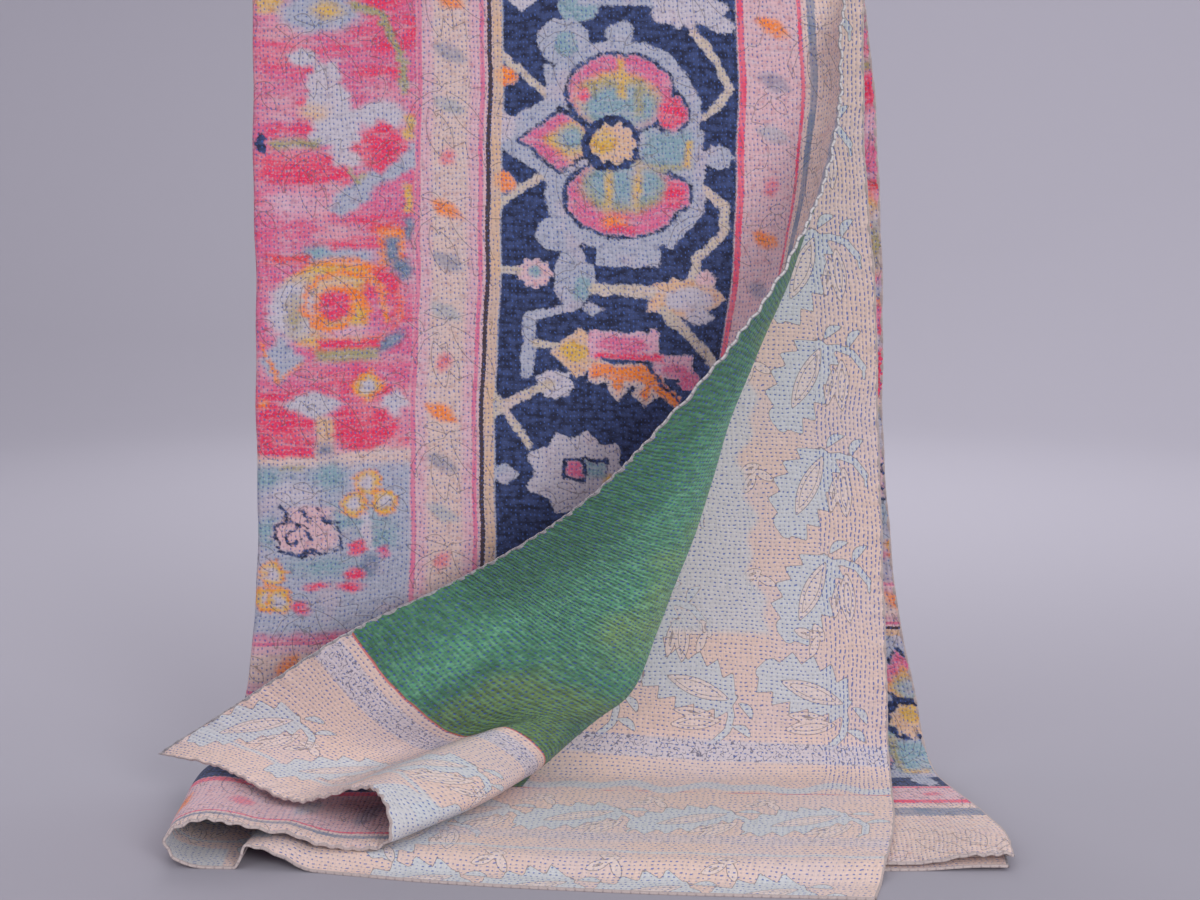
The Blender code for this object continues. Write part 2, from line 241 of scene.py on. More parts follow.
def front_rise(x, y):
    """How far the front layers lie above their plain course: less where nothing lies under them."""
    over_hem = ease(y, back_hem_y(x) - HEM_DROP, back_hem_y(x) - HEM_CLEAR)
    on_back_part = ease(x, *BACK_PART_SIDE) * over_hem
    lower = (1 - on_back_part) * (1 - ease(y, *FRONT_SETTLES))
    return -(FRONT_FLOOR - THICKNESS / 2) * lower


def pleat_rise(x, y):
    """How far the front's inner layer rises in the sharp pleat beside the fold."""
    across_pleat = ease(x, *PLEAT_SIDE) * (1 - ease(x, *PLEAT_SLOPE))
    return PLEAT_RISE * across_pleat * (1 - ease(y, *PLEAT_FADE))


def back_rise(x, from_hem):
    """How far the back's inner layer arches at its corner."""
    arch = ease(x, *ARCH_SIDE) * (1 - 0.5 * ease(x, *ARCH_EDGE))
    return CORNER_ARCH * arch * (1 - ease(from_hem, *ARCH_FADE))


# %% The folded layers, row by row
def section(along):
    """The numbers that shape one cross row."""
    front = along <= FRONT_LENGTH
    sections = FRONT_SECTIONS if front else BACK_SECTIONS
    from_hem = along if front else LENGTH - along
    row = {name: float(read(sections, name, from_hem)) for name in list(sections)[1:]}
    row["front"], row["from_hem"] = front, from_hem
    row["loop"] = math.pi * math.sqrt((row["loop_width"] ** 2 + (row["loop_height"] / 2) ** 2) / 2)
    row["loop_end"] = row["fold_x"] + row["loop_width"]
    return row


def lay(across, along):
    """Where the points of one cross row hang, before the corner is turned."""
    row = section(along)
    across = np.asarray(across, float)
    outer = across < row["fold_across"]
    beyond = np.abs(across - row["fold_across"]) - row["loop"] / 2
    flat = np.where(outer, row["fold_across"], WIDTH - row["fold_across"]) - row["loop"] / 2
    edge = row["edge_x"] - np.where(outer, row["stagger"], 0.0)
    x = row["loop_end"] + beyond * (edge - row["loop_end"]) / flat
    turn = np.clip(1 + beyond / (row["loop"] / 2), 0, 1) * math.pi / 2
    looped = beyond < 0
    x = np.where(looped, row["fold_x"] + row["loop_width"] * (1 - np.cos(turn)), x)
    close = ease(x, row["loop_end"], row["loop_end"] + row["arch_run"])
    apart = row["loop_height"] + (LAYER_STEP - row["loop_height"]) * close
    length = hanging_length(across, row["front"])
    if row["front"]:
        run = length * (1 - along / FRONT_LENGTH)
        course_y = over_the_rod(run, 0.0)[0]
        rise = front_rise(np.maximum(x, row["loop_end"]), course_y)
        inner, over = rise + pleat_rise(x, course_y), rise
    else:
        run = -length * (along - FRONT_LENGTH) / (LENGTH - FRONT_LENGTH)
        lift = (apart - LAYER_STEP) * (1 - ease(row["from_hem"], *LIFT_FADE))
        arch = back_rise(x, row["from_hem"])
        rise = -arch - lift
        inner, over = rise, -arch * LOWER_ARCH_SHARE - lift
    looping = rise + row["loop_height"] / 2 * (1 + np.where(outer, 1, -1) * np.sin(turn))
    out = np.where(looped, looping, np.where(outer, over + apart, inner))
    y, z = over_the_rod(run, out)
    return np.stack([x, y, z], axis=-1)


# %% The turned corner
def across_at(x, along):
    """The flat place across of the front layer at x, past the loop of the fold."""
    row = section(along)
    flat = row["fold_across"] - row["loop"] / 2
    return flat - (x - row["loop_end"]) * flat / (row["edge_x"] - row["stagger"] - row["loop_end"])


def rolled_guides(along, contact_x, radius, lean):
    """Guide points of the turned corner where it rolls up."""
    lean = math.radians(lean)
    turned = across_at(contact_x, along)
    contact = lay(turned, along)
    up = np.array([math.sin(lean), 0.0, math.cos(lean)])
    right = np.array([math.cos(lean), 0.0, -math.sin(lean)])
    forward = np.array([0.0, -1.0, 0.0])
    guides = [contact]
    for share in ROLL_POINTS:
        length = turned * share * math.cos(lean)
        turn = min(length / radius, ROLL_TURN)
        rest = length - turn * radius
        guides.append(
            contact
            + turned * share * math.sin(lean) * up
            + (radius * math.sin(turn) + rest * math.cos(turn)) * right
            + (radius * (1 - math.cos(turn)) + rest * math.sin(turn)) * forward
        )
    return guides


def corner_guides():
    """The along places of the corner's sections, and the guide points of each."""
    laid = list(zip(*CORNER_SECTIONS.values()))
    rolled = [rolled_guides(*row) for row in zip(*ROLL_SECTIONS.values())]
    return np.append(CORNER_ALONG, ROLL_SECTIONS["along"]), np.array(laid + rolled)


CORNER_KNOTS, CORNER_GUIDES = corner_guides()


def turned_width(along):
    """How much of the front layer's width is turned over."""
    if along >= CORNER_KNOTS[-1]:
        return 0.0
    return across_at(flow(CORNER_KNOTS, CORNER_GUIDES, along)[0, 0], along)


def place_row(across, along):
    """Where the points of one cross row hang."""
    across = np.asarray(across, float)
    points = lay(across, along)
    turned = turned_width(along)
    if turned <= 0:
        return points
    guides = flow(CORNER_KNOTS, CORNER_GUIDES, along)
    guides[0] = lay(turned, along)
    steps = np.linalg.norm(np.diff(guides, axis=0), axis=1)
    knots = np.append(0.0, np.cumsum(steps)) / steps.sum() * turned
    knots = np.append(-LEAD, knots)
    guides = np.vstack([lay(turned + LEAD, along), guides])
    corner = across < turned
    points[corner] = flow(knots, guides, turned - across[corner])
    return points


print("beside the front hem the corner turns over", np.round(turned_width(0.0), 3), "m of the width")

# %% [markdown]
# ## The cloths of the two faces
# Each printed cloth is a flat grid, made by one operator, whose points are then moved to where they hang.
# Its columns and rows are close together where the print shows and wider apart between the layers. It
# keeps its flat places as a UV map in metres, so weave, stitches and print follow the cloth, not space.

# %% Lines of the grids
FACE_LIFT = THICKNESS / 2
SWAY = 0.0018
SWAY_SIDEWAYS = 0.0009
SWAY_STARTS = (0.05, 0.25)
PUCKER = 0.0011
PUCKER_DEPTH = 0.014
OFF_THE_FLOOR = (0.004, 0.02)


def lines(*runs):
    """Places from (start, spacing) runs, up to the last run's start."""
    places = []
    for (start, spacing), (end, _) in zip(runs, runs[1:]):
        places.append(np.linspace(start, end, max(1, round((end - start) / spacing)), endpoint=False))
    return np.append(np.concatenate(places), runs[-1][0])


def sway(points):
    """The whole stack's slow unevenness, the same for all layers so that their gaps stay."""
    x, z = points[..., 0], points[..., 2]
    hanging = ease(z, *SWAY_STARTS)
    points[..., 1] += SWAY * hanging * (np.sin(17 * x + 5 * z + 1.0) + np.sin(-9 * x + 14 * z) * 0.8)
    points[..., 0] += SWAY_SIDEWAYS * hanging * (np.sin(23 * z + 0.5) + 0.6 * np.sin(61 * z + 2.0))
    return points


def pucker(across, along):
    """How far the edge's drawn thread lifts the cloth, strongest at the edge itself."""
    side, end = np.minimum(across, WIDTH - across), np.minimum(along, LENGTH - along)
    waves = 0
    for gap, place in ((side, along), (end, across)):
        drawn = np.exp(-np.clip(gap, 0, None) / PUCKER_DEPTH)
        waves = waves + drawn * (np.sin(place * 330 + 2 * np.sin(place * 47)) + 0.7 * np.sin(place * 141 + 1))
    return PUCKER * waves


def middle_surface(across, along):
    """The cloth's middle, rows by columns, and the way out of its printed face."""
    points = sway(np.stack([place_row(across, place) for place in along]) + FOOTPRINT_SHIFT)
    down = np.gradient(points, along, axis=0)
    over = np.gradient(points, across, axis=1)
    out = np.cross(down, over)
    out /= np.linalg.norm(out, axis=-1, keepdims=True)
    lift = pucker(*np.meshgrid(across, along))[..., None]
    return points + out * lift * ease(points[..., 2:], *OFF_THE_FLOOR), out


# %% A cloth from a flat grid
def put_in_scene(name, data):
    """Makes an object of a mesh, a lamp or a camera."""
    made = bpy.data.objects.new(name, data)
    bpy.context.scene.collection.objects.link(made)
    return made


def grid_piece(name, points, maps, flip=False):
    """A smooth sheet through rows by columns of points, with the flat places of each UV map."""
    rows, columns = points.shape[:2]
    sheet = bmesh.new()
    bmesh.ops.create_grid(sheet, x_segments=columns - 1, y_segments=rows - 1, size=0.5)
    if flip:
        bmesh.ops.reverse_faces(sheet, faces=sheet.faces)
    mesh = bpy.data.meshes.new(name)
    sheet.to_mesh(mesh)
    sheet.free()
    mesh.vertices.foreach_set("co", points.astype(np.float32).ravel())
    corners = np.empty(len(mesh.loops), np.int32)
    mesh.loops.foreach_get("vertex_index", corners)
    for layer, places in maps.items():
        flat = places.reshape(-1, 2)[corners].astype(np.float32).ravel()
        mesh.uv_layers.new(name=layer).data.foreach_set("uv", flat)
    mesh.shade_smooth()
    mesh.update()
    print(name, len(mesh.polygons) * 2, "triangles")
    return put_in_scene(name, mesh)


def cloth_piece(name, across, along, face):
    """A cloth on one face of the quilt: face is 1 for the printed face and -1 for the lined one."""
    points, out = middle_surface(across, along)
    flat = np.stack(np.meshgrid(across, along), axis=-1)
    low, high = flat.min(axis=(0, 1)), flat.max(axis=(0, 1))
    maps = {"cloth": flat, "OFBake": (flat - low) / (high - low)}
    return grid_piece(name, points + face * FACE_LIFT * out, maps, flip=face > 0)


def keep_ink(piece, name, ink):
    """Stores four numbers a point on the cloth, for its finish to read."""
    store = piece.data.color_attributes.new(name, "FLOAT_COLOR", "POINT")
    store.data.foreach_set("color", np.ascontiguousarray(ink, np.float32).ravel())


def hang(piece):
    """Says that the cloth is the quilt's: attaches it to the root body and hides the imported quilt."""
    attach(piece, "root")
    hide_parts("quilt")


# %% [markdown]
# ## The rug print
# The outer face is printed like a carpet: a field of flowers, two narrow guard stripes and a wide dark
# border of rosettes and vines between them. An image could hold it, but then it would be only as sharp as
# the image. Here it is drawn like a weaver's chart, from discs, kites, leaves and stems in short tables.
# Each point of the cloth gets its dye, and for the dark dye the distance to its edge, so that the finish
# can cut that edge as sharp and as ragged as knots do.

# %% Dyes
# Navy isn't among them: the finish lays the dark dye on, because its edge has to stay sharp.
DYES = {
    "pink": "d8698f",
    "pale pink": "d9a3b6",
    "hot pink": "e63a63",
    "red": "e04a55",
    "orange": "f2873a",
    "yellow": "d9ae55",
    "olive": "a59a72",
    "teal": "87a3ae",
    "slate": "6d7f98",
    "lilac": "a9acbd",
    "pale lilac": "c4bcc7",
    "cream": "dab292",
    "vine": "c8b8a8",
    "peach": "d8bcb4",
    "rose": "d8b1b7",
    "leaf grey": "cbced3",
    "sari peach": "e1c6bb",
}


def dye(name):
    """A dye's colour as the shader counts it."""
    code = DYES[name]
    shown = np.array([int(code[i : i + 2], 16) for i in (0, 2, 4)]) / 255
    return np.where(shown < 0.04045, shown / 12.92, ((shown + 0.055) / 1.055) ** 2.4)


print(len(DYES), "dyes")

# %% Shapes of the chart
# Distances aren't told apart past this: chart steps on the rug print, millimetres on the leaves.
FAR = 9.0
KITE_SLOPE = 0.75
BURR_TEETH = 9
BURR_ROOT = 0.80
BURR_TOOTH = 0.24


def scatter(x, y, seed):
    """A repeatable random number from 0 to 1 for every whole step of the chart."""
    mixed = np.sin(np.floor(x) * 127.1 + np.floor(y) * 311.7 + seed * 74.7) * 43758.5453
    return mixed - np.floor(mixed)


def wander(x, y, seed, cell=3.5, reach=3.4):
    """A smooth repeatable random shift, with whole steps as large as cell."""
    x, y = x / cell, y / cell
    fx, fy = x - np.floor(x), y - np.floor(y)
    fx, fy = fx * fx * (3 - 2 * fx), fy * fy * (3 - 2 * fy)
    near = scatter(x, y, seed) * (1 - fx) + scatter(x + 1, y, seed) * fx
    far = scatter(x, y + 1, seed) * (1 - fx) + scatter(x + 1, y + 1, seed) * fx
    return (near * (1 - fy) + far * fy - 0.5) * reach


def turned(x, y, degrees):
    """The same places read along axes that are turned by so many degrees."""
    c, s = math.cos(math.radians(degrees)), math.sin(math.radians(degrees))
    return x * c + y * s, y * c - x * s


def shape_distance(kind, x, y, wide, high):
    """How far a point is outside a shape of half sizes wide and high, negative inside."""
    if kind == "disc":
        return (np.hypot(x / wide, y / high) - 1) * min(wide, high)
    if kind == "kite":
        return (np.abs(x) / wide + np.abs(y) / high - 1) * min(wide, high) * KITE_SLOPE
    if kind == "leaf":
        return np.maximum(np.abs(y) - high * (1 - (x / wide) ** 2), np.abs(x) - wide)
    if kind == "burr":
        angle = np.arctan2(y, x) * BURR_TEETH / (2 * math.pi)
        tooth = np.abs(angle - np.floor(angle) - 0.5) * 2
        return (np.hypot(x / wide, y / high) - BURR_ROOT - BURR_TOOTH * tooth) * min(wide, high)
    return np.maximum(np.abs(x) - wide, np.abs(y) - high)


def stem_distance(x, y, start, end, width):
    """How far a point is outside a straight stem."""
    run = np.subtract(end, start)
    share = np.clip(((x - start[0]) * run[0] + (y - start[1]) * run[1]) / (run @ run), 0, 1)
    return np.hypot(x - start[0] - share * run[0], y - start[1] - share * run[1]) - width / 2


# %% The painter
COVERING = 0.6


class Painter:
    """Dyes points of the cloth. soft is how far, in chart steps, a dye fades out at its edge."""

    def __init__(self, x, y, ground):
        self.x, self.y = x, y
        self.colour = np.tile(dye(ground), (*x.shape, 1))
        self.dark = np.full(x.shape, -FAR)

    def wash(self, name, outside, soft=2.5, strength=1.0):
        """Lays a dye on. Only a strong one covers the dark dye that lies under it."""
        cover = strength * np.clip(0.5 - outside / soft, 0, 1)[..., None]
        self.colour += (dye(name) - self.colour) * cover
        if strength > COVERING:
            self.dark = np.minimum(self.dark, np.clip(outside, -FAR, FAR))

    def block_out(self, outside):
        """Lays the dark dye on."""
        self.dark = np.maximum(self.dark, np.clip(-outside, -FAR, FAR))

    def lay_on(self, name, outside, soft=2.5):
        if name == "navy":
            self.block_out(outside)
        else:
            self.wash(name, outside, soft)

    def spot(self, kind, name, x, y, wide, high, soft=2.5, turn=0):
        self.lay_on(name, shape_distance(kind, *turned(self.x - x, self.y - y, turn), wide, high), soft)

    def stem(self, name, width, *points):
        for start, end in zip(points, points[1:]):
            self.lay_on(name, stem_distance(self.x, self.y, start, end, width))


# %% [markdown]
# ### The wide border
# A rosette, the vines around it and a tulip make up one repeat. The chart's zero is the rosette's centre,
# its x runs to the quilt's edge and its y down to the hem. First a pale halo, then the dark outline, then
# the petals: each shape covers what lies under it, as a printer's blocks do.

# %% The rosette
REPEAT = 672
STEP_ACROSS = 0.001215
STEP_ALONG = 0.00116

# Each petal: its kind, its place, and half its width and height, in chart steps.
PETALS = (
    ("disc", 7, -51, 52, 38),
    ("disc", 60, -31, 14, 18),
    ("disc", 13, 54, 57, 39),
    ("disc", 66, 50, 14, 16),
    ("kite", -51, -2, 40, 30),
)
# Each spot: its kind, its dye, its place, half its width and height, its softness, and its turn if any.
PETAL_FILLS = (
    ("disc", "yellow", 4, -43, 42, 28, 8),
    ("disc", "teal", 7, -37, 40, 25, 12),
    ("disc", "hot pink", 59, -31, 13, 17, 5),
    ("disc", "hot pink", -31, -48, 6, 7, 4),
    ("block", "yellow", 8, -66, 4, 20, 6),
    ("block", "olive", 26, -46, 4, 18, 8),
    ("disc", "olive", -12, -58, 18, 4, 5),
    ("disc", "olive", 12, 43, 44, 27, 8),
    ("disc", "teal", 14, 38, 38, 23, 10),
    ("disc", "yellow", -2, 46, 4, 22, 6),
    ("disc", "yellow", 26, 42, 4, 20, 6),
    ("disc", "orange", 6, 80, 14, 7, 7),
    ("disc", "hot pink", 64, 48, 10, 13, 5),
    ("disc", "hot pink", 12, 86, 12, 4, 4),
    ("kite", "yellow", -40, -2, 30, 21, 7),
    ("disc", "teal", -40, -4, 14, 12, 9),
    ("block", "teal", 56, 6, 25, 19, 7),
    ("block", "yellow", 77, 8, 3, 13, 4),
    ("block", "olive", 50, 22, 22, 3, 5),
)
HALO = 15
OUTLINE = 3.6

# %% Flowers and vines of the border
BORDER_SPOTS = (
    ("disc", "lilac", -49, -101, 26, 23),
    ("disc", "teal", -46, -98, 12, 12),
    ("disc", "teal", -33, -136, 21, 15),
    ("block", "lilac", 16, -146, 52, 9),
    ("burr", "pale lilac", 78, -135, 42, 20),
    ("burr", "pale lilac", 112, -118, 13, 8),
    ("burr", "pale lilac", -112, -14, 17, 15),
    ("kite", "pale lilac", -90, -148, 22, 18),
    ("burr", "lilac", 107, 10, 17, 13),
    ("disc", "orange", -107, -66, 11, 9, 2.5, 20),
    ("disc", "orange", -107, 41, 12, 10, 2.5, 20),
    ("disc", "lilac", -50, 92, 25, 19),
    ("disc", "lilac", -35, 138, 20, 32),
    ("disc", "teal", -27, 150, 9, 14),
    ("block", "lilac", 14, 112, 38, 12),
    ("block", "navy", -19, 114, 6, 9),
    ("kite", "lilac", -15, 170, 12, 8),
    ("burr", "rose", -76, 135, 19, 16),
    ("disc", "teal", -76, 134, 8, 6),
    ("burr", "cream", 79, 155, 42, 22),
    ("disc", "pale lilac", 84, 156, 26, 12),
    ("burr", "rose", 99, 134, 11, 9),
    ("burr", "pale lilac", 96, 174, 17, 8),
    ("kite", "cream", -26, 217, 30, 27),
    ("disc", "yellow", -30, 215, 15, 9),
    ("block", "pale pink", 20, 206, 37, 14),
    ("block", "pale pink", 50, 194, 4, 7),
    ("block", "pale pink", 72, 226, 21, 12),
    ("burr", "pink", 92, 240, 14, 10),
    ("block", "hot pink", 26, 217, 36, 4),
    ("disc", "pink", 18, 205, 26, 8),
    ("disc", "pink", 74, 230, 14, 7),
    ("block", "peach", 16, 236, 31, 11),
    ("kite", "peach", 18, 250, 12, 14),
    ("kite", "peach", 47, 254, 14, 15),
    ("block", "orange", 15, 234, 28, 7),
    ("kite", "orange", 18, 246, 7, 11),
    ("burr", "pale lilac", -49, 250, 21, 16),
    ("burr", "pale lilac", -22, 345, 56, 46),
    ("kite", "lilac", -99, 349, 16, 13),
    ("block", "navy", -28, 340, 12, 12),
    ("block", "pink", -27, 340, 8, 8),
    ("block", "navy", -5, 336, 13, 10),
    ("block", "teal", -4, 339, 10, 8),
    ("disc", "yellow", 12, 352, 9, 10),
)
# Each stem: its dye, its width and the places it passes. The vines lie under the flowers.
VINES = (
    ("vine", 8, (-116, -92), (-63, -43)),
    ("lilac", 9, (-64, -74), (-64, -40), (-98, -19)),
    ("lilac", 8, (-96, 2), (-69, 31), (-56, 40), (-56, 84)),
    ("vine", 8, (-66, 31), (-116, 66)),
    ("vine", 8, (84, -112), (105, -83), (116, -58), (109, -43), (91, -28)),
    ("lilac", 10, (88, -12), (89, 66), (62, 98)),
    ("vine", 9, (86, 36), (115, 60), (117, 84), (89, 113), (86, 132)),
)
# The tendrils lie over them.
TENDRILS = (
    ("vine", 12, (-14, 149), (44, 149)),
    ("vine", 11, (58, 168), (128, 230)),
    ("vine", 8, (-114, 131), (-92, 133)),
    ("lilac", 9, (-29, 166), (-78, 181)),
    ("lilac", 13, (-78, 182), (-78, 240)),
    ("vine", 8, (-72, 209), (-49, 209)),
    ("orange", 13, (42, 231), (80, 262)),
    ("orange", 8, (48, 240), (46, 256)),
    ("navy", 3.4, (-4, 220), (42, 222), (64, 246), (84, 262)),
    ("vine", 8, (-118, 253), (-101, 275), (-74, 316)),
    ("vine", 9, (-118, 292), (-101, 275), (-52, 250)),
)


# %% One repeat of the border
def paint_border(brush):
    """One repeat of the wide border, on its dark ground."""
    for row in VINES:
        brush.stem(*row)
    petals = [shape_distance(kind, brush.x - x, brush.y - y, wide, high) for kind, x, y, wide, high in PETALS]
    petals = np.minimum.reduce(petals)
    heart = shape_distance("block", brush.x - 56, brush.y - 6, 28, 22)
    brush.wash("lilac", np.minimum(petals - HALO, heart))
    brush.spot("block", "navy", 10, -122, 37, 13)
    for row in BORDER_SPOTS:
        brush.spot(*row)
    brush.spot("disc", "lilac", 8, -111, 15, 10)
    for row in TENDRILS:
        brush.stem(*row)
    brush.block_out(petals - OUTLINE)
    brush.wash("pink", petals, 2.0)
    for row in PETAL_FILLS:
        brush.spot(*row)
    brush.spot("disc", "navy", 0, 0, 29.5, 28.5)
    brush.spot("burr", "cream", 3, 0, 23, 22)
    brush.spot("disc", "yellow", -8, -2, 12, 13, 6)


print("one repeat is", np.round(REPEAT * STEP_ALONG, 3), "m long")

# %% [markdown]
# ### The field
# Inside the borders lie large worn flowers, a trefoil and a scroll, on a pink and then a grey-blue ground.
# Repeated washing has run the dyes together. The same painter draws them, with softer edges than the
# border's and a quick shift across the weft that frays them.

# %% Flowers of the field
FIELD_SOFTER = 1.1
FIELD_SPOTS = (
    ("block", "lilac", -290, 424, 120, 96, 10),
    ("block", "peach", -290, 329, 120, 8, 8),
    ("disc", "teal", -282, 348, 16, 15, 14),
    ("disc", "teal", -345, 350, 20, 10, 12),
    ("disc", "teal", -262, 392, 22, 16, 14),
    ("disc", "teal", -230, 412, 20, 18, 14),
    ("disc", "teal", -345, 408, 12, 14, 10),
    ("disc", "teal", -288, 446, 30, 10, 12),
    ("disc", "pale lilac", -318, 366, 26, 12, 10),
    ("block", "olive", -318, 339, 12, 2, 5),
    ("block", "yellow", -344, -137, 12, 9, 5),
    ("disc", "lilac", -294, -130, 42, 20, 7),
    ("disc", "yellow", -288, -132, 12, 7, 10),
    ("disc", "hot pink", -240, -140, 22, 9, 6),
    ("disc", "hot pink", -203, -113, 7, 17, 6),
    ("disc", "pale lilac", -232, -26, 26, 16, 7),
    ("block", "yellow", -203, -14, 5, 11, 4),
    ("disc", "pale lilac", -313, -85, 15, 9, 4),
    ("block", "pale lilac", -291, -66, 15, 15, 4),
    ("disc", "pale lilac", -286, -40, 24, 18, 4),
    ("block", "pale lilac", -277, -14, 25, 18, 4),
    ("kite", "pale lilac", -267, 14, 22, 20, 4),
    ("disc", "cream", -300, -30, 12, 8, 9),
    ("block", "hot pink", -312, -72, 8, 3, 4),
    ("disc", "hot pink", -312, -41, 5, 4, 4),
    ("block", "hot pink", -323, -13, 23, 4, 5),
    ("block", "olive", -318, 2, 25, 5, 5),
    ("block", "navy", -352, 2, 4, 12, 3),
    ("block", "hot pink", -318, 24, 36, 12, 6),
    ("block", "hot pink", -298, 34, 34, 8, 6),
    ("kite", "hot pink", -232, 6, 30, 28, 5),
    ("block", "hot pink", -222, -96, 16, 5, 8),
    ("block", "hot pink", -236, -70, 22, 5, 8),
    ("block", "yellow", -203, 58, 4, 14, 4),
    ("disc", "pale pink", -318, 62, 34, 14, 12),
    ("disc", "pink", -226, 58, 16, 16, 6),
    ("block", "red", -228, 90, 14, 7, 5),
    ("block", "orange", -220, 108, 13, 20, 5),
    ("block", "slate", -220, 110, 7, 13, 5),
    ("block", "slate", -203, 90, 4, 12, 5),
    ("disc", "lilac", -270, 116, 34, 11, 6),
    ("disc", "teal", -298, 112, 12, 8, 9),
    ("disc", "hot pink", -262, 104, 26, 5, 6),
    ("block", "red", -326, 119, 22, 5, 5),
    ("disc", "slate", -212, 132, 12, 12, 7),
)

# %% The spiral flower
SPIRAL_FLOWER = (
    ("disc", "orange", -274, 168, 64, 50, 5),
    ("disc", "yellow", -282, 168, 56, 43, 7),
    ("disc", "pale lilac", -320, 172, 26, 32, 10),
    ("disc", "olive", -318, 178, 9, 18, 10),
    ("disc", "cream", -284, 146, 26, 10, 8),
    ("disc", "hot pink", -232, 160, 20, 30, 8),
    ("disc", "pink", -238, 182, 22, 20, 8),
    ("disc", "orange", -272, 174, 30, 27, 5),
    ("disc", "yellow", -266, 182, 20, 16, 7),
    ("disc", "hot pink", -278, 168, 17, 16, 5),
    ("disc", "pale pink", -268, 196, 26, 7, 8),
    ("disc", "slate", -222, 208, 18, 7, 5, -32),
    ("block", "hot pink", -262, 209, 32, 5, 4),
    ("block", "olive", -264, 220, 32, 6, 5),
    ("kite", "lilac", -332, 224, 24, 26, 5),
)
# Its orange stem winds outwards through twelve places.
SPIRAL = [
    (-276 + (16 + 3.4 * step) * math.cos(0.6 * step), 170 + (15 + 2.9 * step) * math.sin(0.6 * step))
    for step in range(12)
]

# %% Buds, trefoil and scroll
LOWER_FIELD = (
    ("block", "hot pink", -326, 298, 28, 28, 4),
    ("disc", "hot pink", -246, 298, 36, 24, 4),
    ("block", "hot pink", -282, 262, 76, 6, 16),
    ("block", "orange", -349, 269, 5, 4, 4),
    ("kite", "pale lilac", -298, 272, 34, 17, 4),
    ("block", "cream", -286, 303, 9, 19, 5),
    ("block", "slate", -286, 318, 7, 6, 9),
    ("kite", "pale lilac", -212, 272, 18, 15, 5),
    ("kite", "orange", -242, 253, 19, 18, 4),
    ("kite", "yellow", -242, 253, 14, 13, 5),
    ("disc", "pale lilac", -242, 253, 7, 7, 3),
)
TREFOIL = ((-241, 357), (-256, 379), (-224, 379), (-338, 452), (-342, 480), (-330, 482))
SCROLL_GROUND = (("disc", "rose", -306, 410, 34, 22, 5), ("disc", "rose", -300, 386, 24, 8, 5))
SCROLL_STEMS = (
    (4.0, (-336, 400), (-338, 412), (-330, 430), (-312, 434), (-302, 428)),
    (4.0, (-318, 404), (-326, 412), (-318, 422), (-310, 416)),
    (4.0, (-336, 400), (-322, 396), (-306, 402), (-300, 416)),
    (3.6, (-302, 428), (-284, 432), (-270, 426), (-270, 404)),
    (4.0, (-332, 380), (-322, 394)),
    (4.0, (-310, 382), (-302, 396)),
    (4.0, (-292, 380), (-288, 396), (-272, 398)),
)
PINK_BUDS = (
    ("disc", "hot pink", -253, 427, 9, 9, 4),
    ("disc", "pink", -226, 432, 7, 7, 4),
    ("disc", "slate", -238, 446, 9, 13, 7),
    ("disc", "hot pink", -253, 455, 10, 6, 4),
    ("disc", "hot pink", -293, 467, 12, 4, 4),
    ("disc", "hot pink", -258, 469, 14, 5, 4),
    ("disc", "hot pink", -306, 489, 10, 7, 5),
)


# %% The field, painted
def paint_field(brush):
    """The flowers inside the borders."""
    brush.stem("lilac", 24, (-271, 64), (-201, 14))
    for kind, name, x, y, wide, high, soft, *turn in FIELD_SPOTS + SPIRAL_FLOWER + LOWER_FIELD:
        brush.spot(kind, name, x, y, wide, high, FIELD_SOFTER * soft, *turn)
    brush.stem("olive", 8, (-262, -137), (-234, -128), (-224, -108), (-212, -90), (-210, -50))
    brush.stem("orange", 6, *SPIRAL)
    brush.stem("orange", 3, (-352, 206), (-334, 246), (-312, 228))
    brush.stem("olive", 5, (-264, 30), (-256, 40), (-248, 34))
    brush.stem("pale lilac", 10, (-244, 392), (-240, 428))
    for x, y in TREFOIL:
        brush.spot("disc", "orange", x, y, 14, 14, 3)
        brush.spot("disc", "yellow", x, y, 12, 12, 4)
        brush.spot("disc", "pale lilac", x, y, 7, 7, 4)
    for row in SCROLL_GROUND + PINK_BUDS:
        brush.spot(*row)
    for width, *points in SCROLL_STEMS:
        brush.stem("navy", width, *points)


print(len(FIELD_SPOTS + SPIRAL_FLOWER + LOWER_FIELD), "spots in the field")

# %% [markdown]
# ### Stripes and guards
# From the quilt's edge inwards come a peach border, a grey-blue stripe and the outer guard, then the wide
# border, and the inner guard. The same stripes run along both long edges and both hems, so each is a range of
# distances from the nearest edge. A guard is a row of slanted buds in four dyes, one after another.

# %% Stripes
# Each stripe: its dye, its two distances from the edge in metres, and its softness.
STRIPES = (
    ("sari peach", 0.000, 0.070, 3),
    ("rose", 0.062, 0.144, 3),
    ("rose", 0.444, 0.540, 2),
    ("pale pink", 0.464, 0.524, 9),
    ("peach", 0.470, 0.518, 9),
)
# Fine stripes are drawn by the finish, which is sharper than the points of the cloth.
FINE_STRIPES = (
    ("slate", 0.0470, 0.0570),
    ("hot pink", 0.0640, 0.0685),
    ("hot pink", 0.1345, 0.1425),
    ("cream", 0.4315, 0.4435),
    ("pink", 0.4535, 0.4590),
    ("pink", 0.5300, 0.5360),
)
DARK_LINE = (0.4442, 0.4496)

# %% Guards
# Each guard: its middle's distance from the edge, the place of a bud, and the lean of its buds in degrees.
GUARDS = ((0.100, -118, 25), (0.497, -143, 28))
GUARD_STEP = 53.3
GUARD_BUDS = (
    ("orange", "leaf", 0.95),
    ("slate", "leaf", 0.55),
    ("teal", "leaf", 0.50),
    ("hot pink", "burr", 0.60),
)
BUD_SIZES = {"leaf": (19, 8), "burr": (8, 10)}
BUD_SOFTNESS = 6
NOWHERE = 99.0


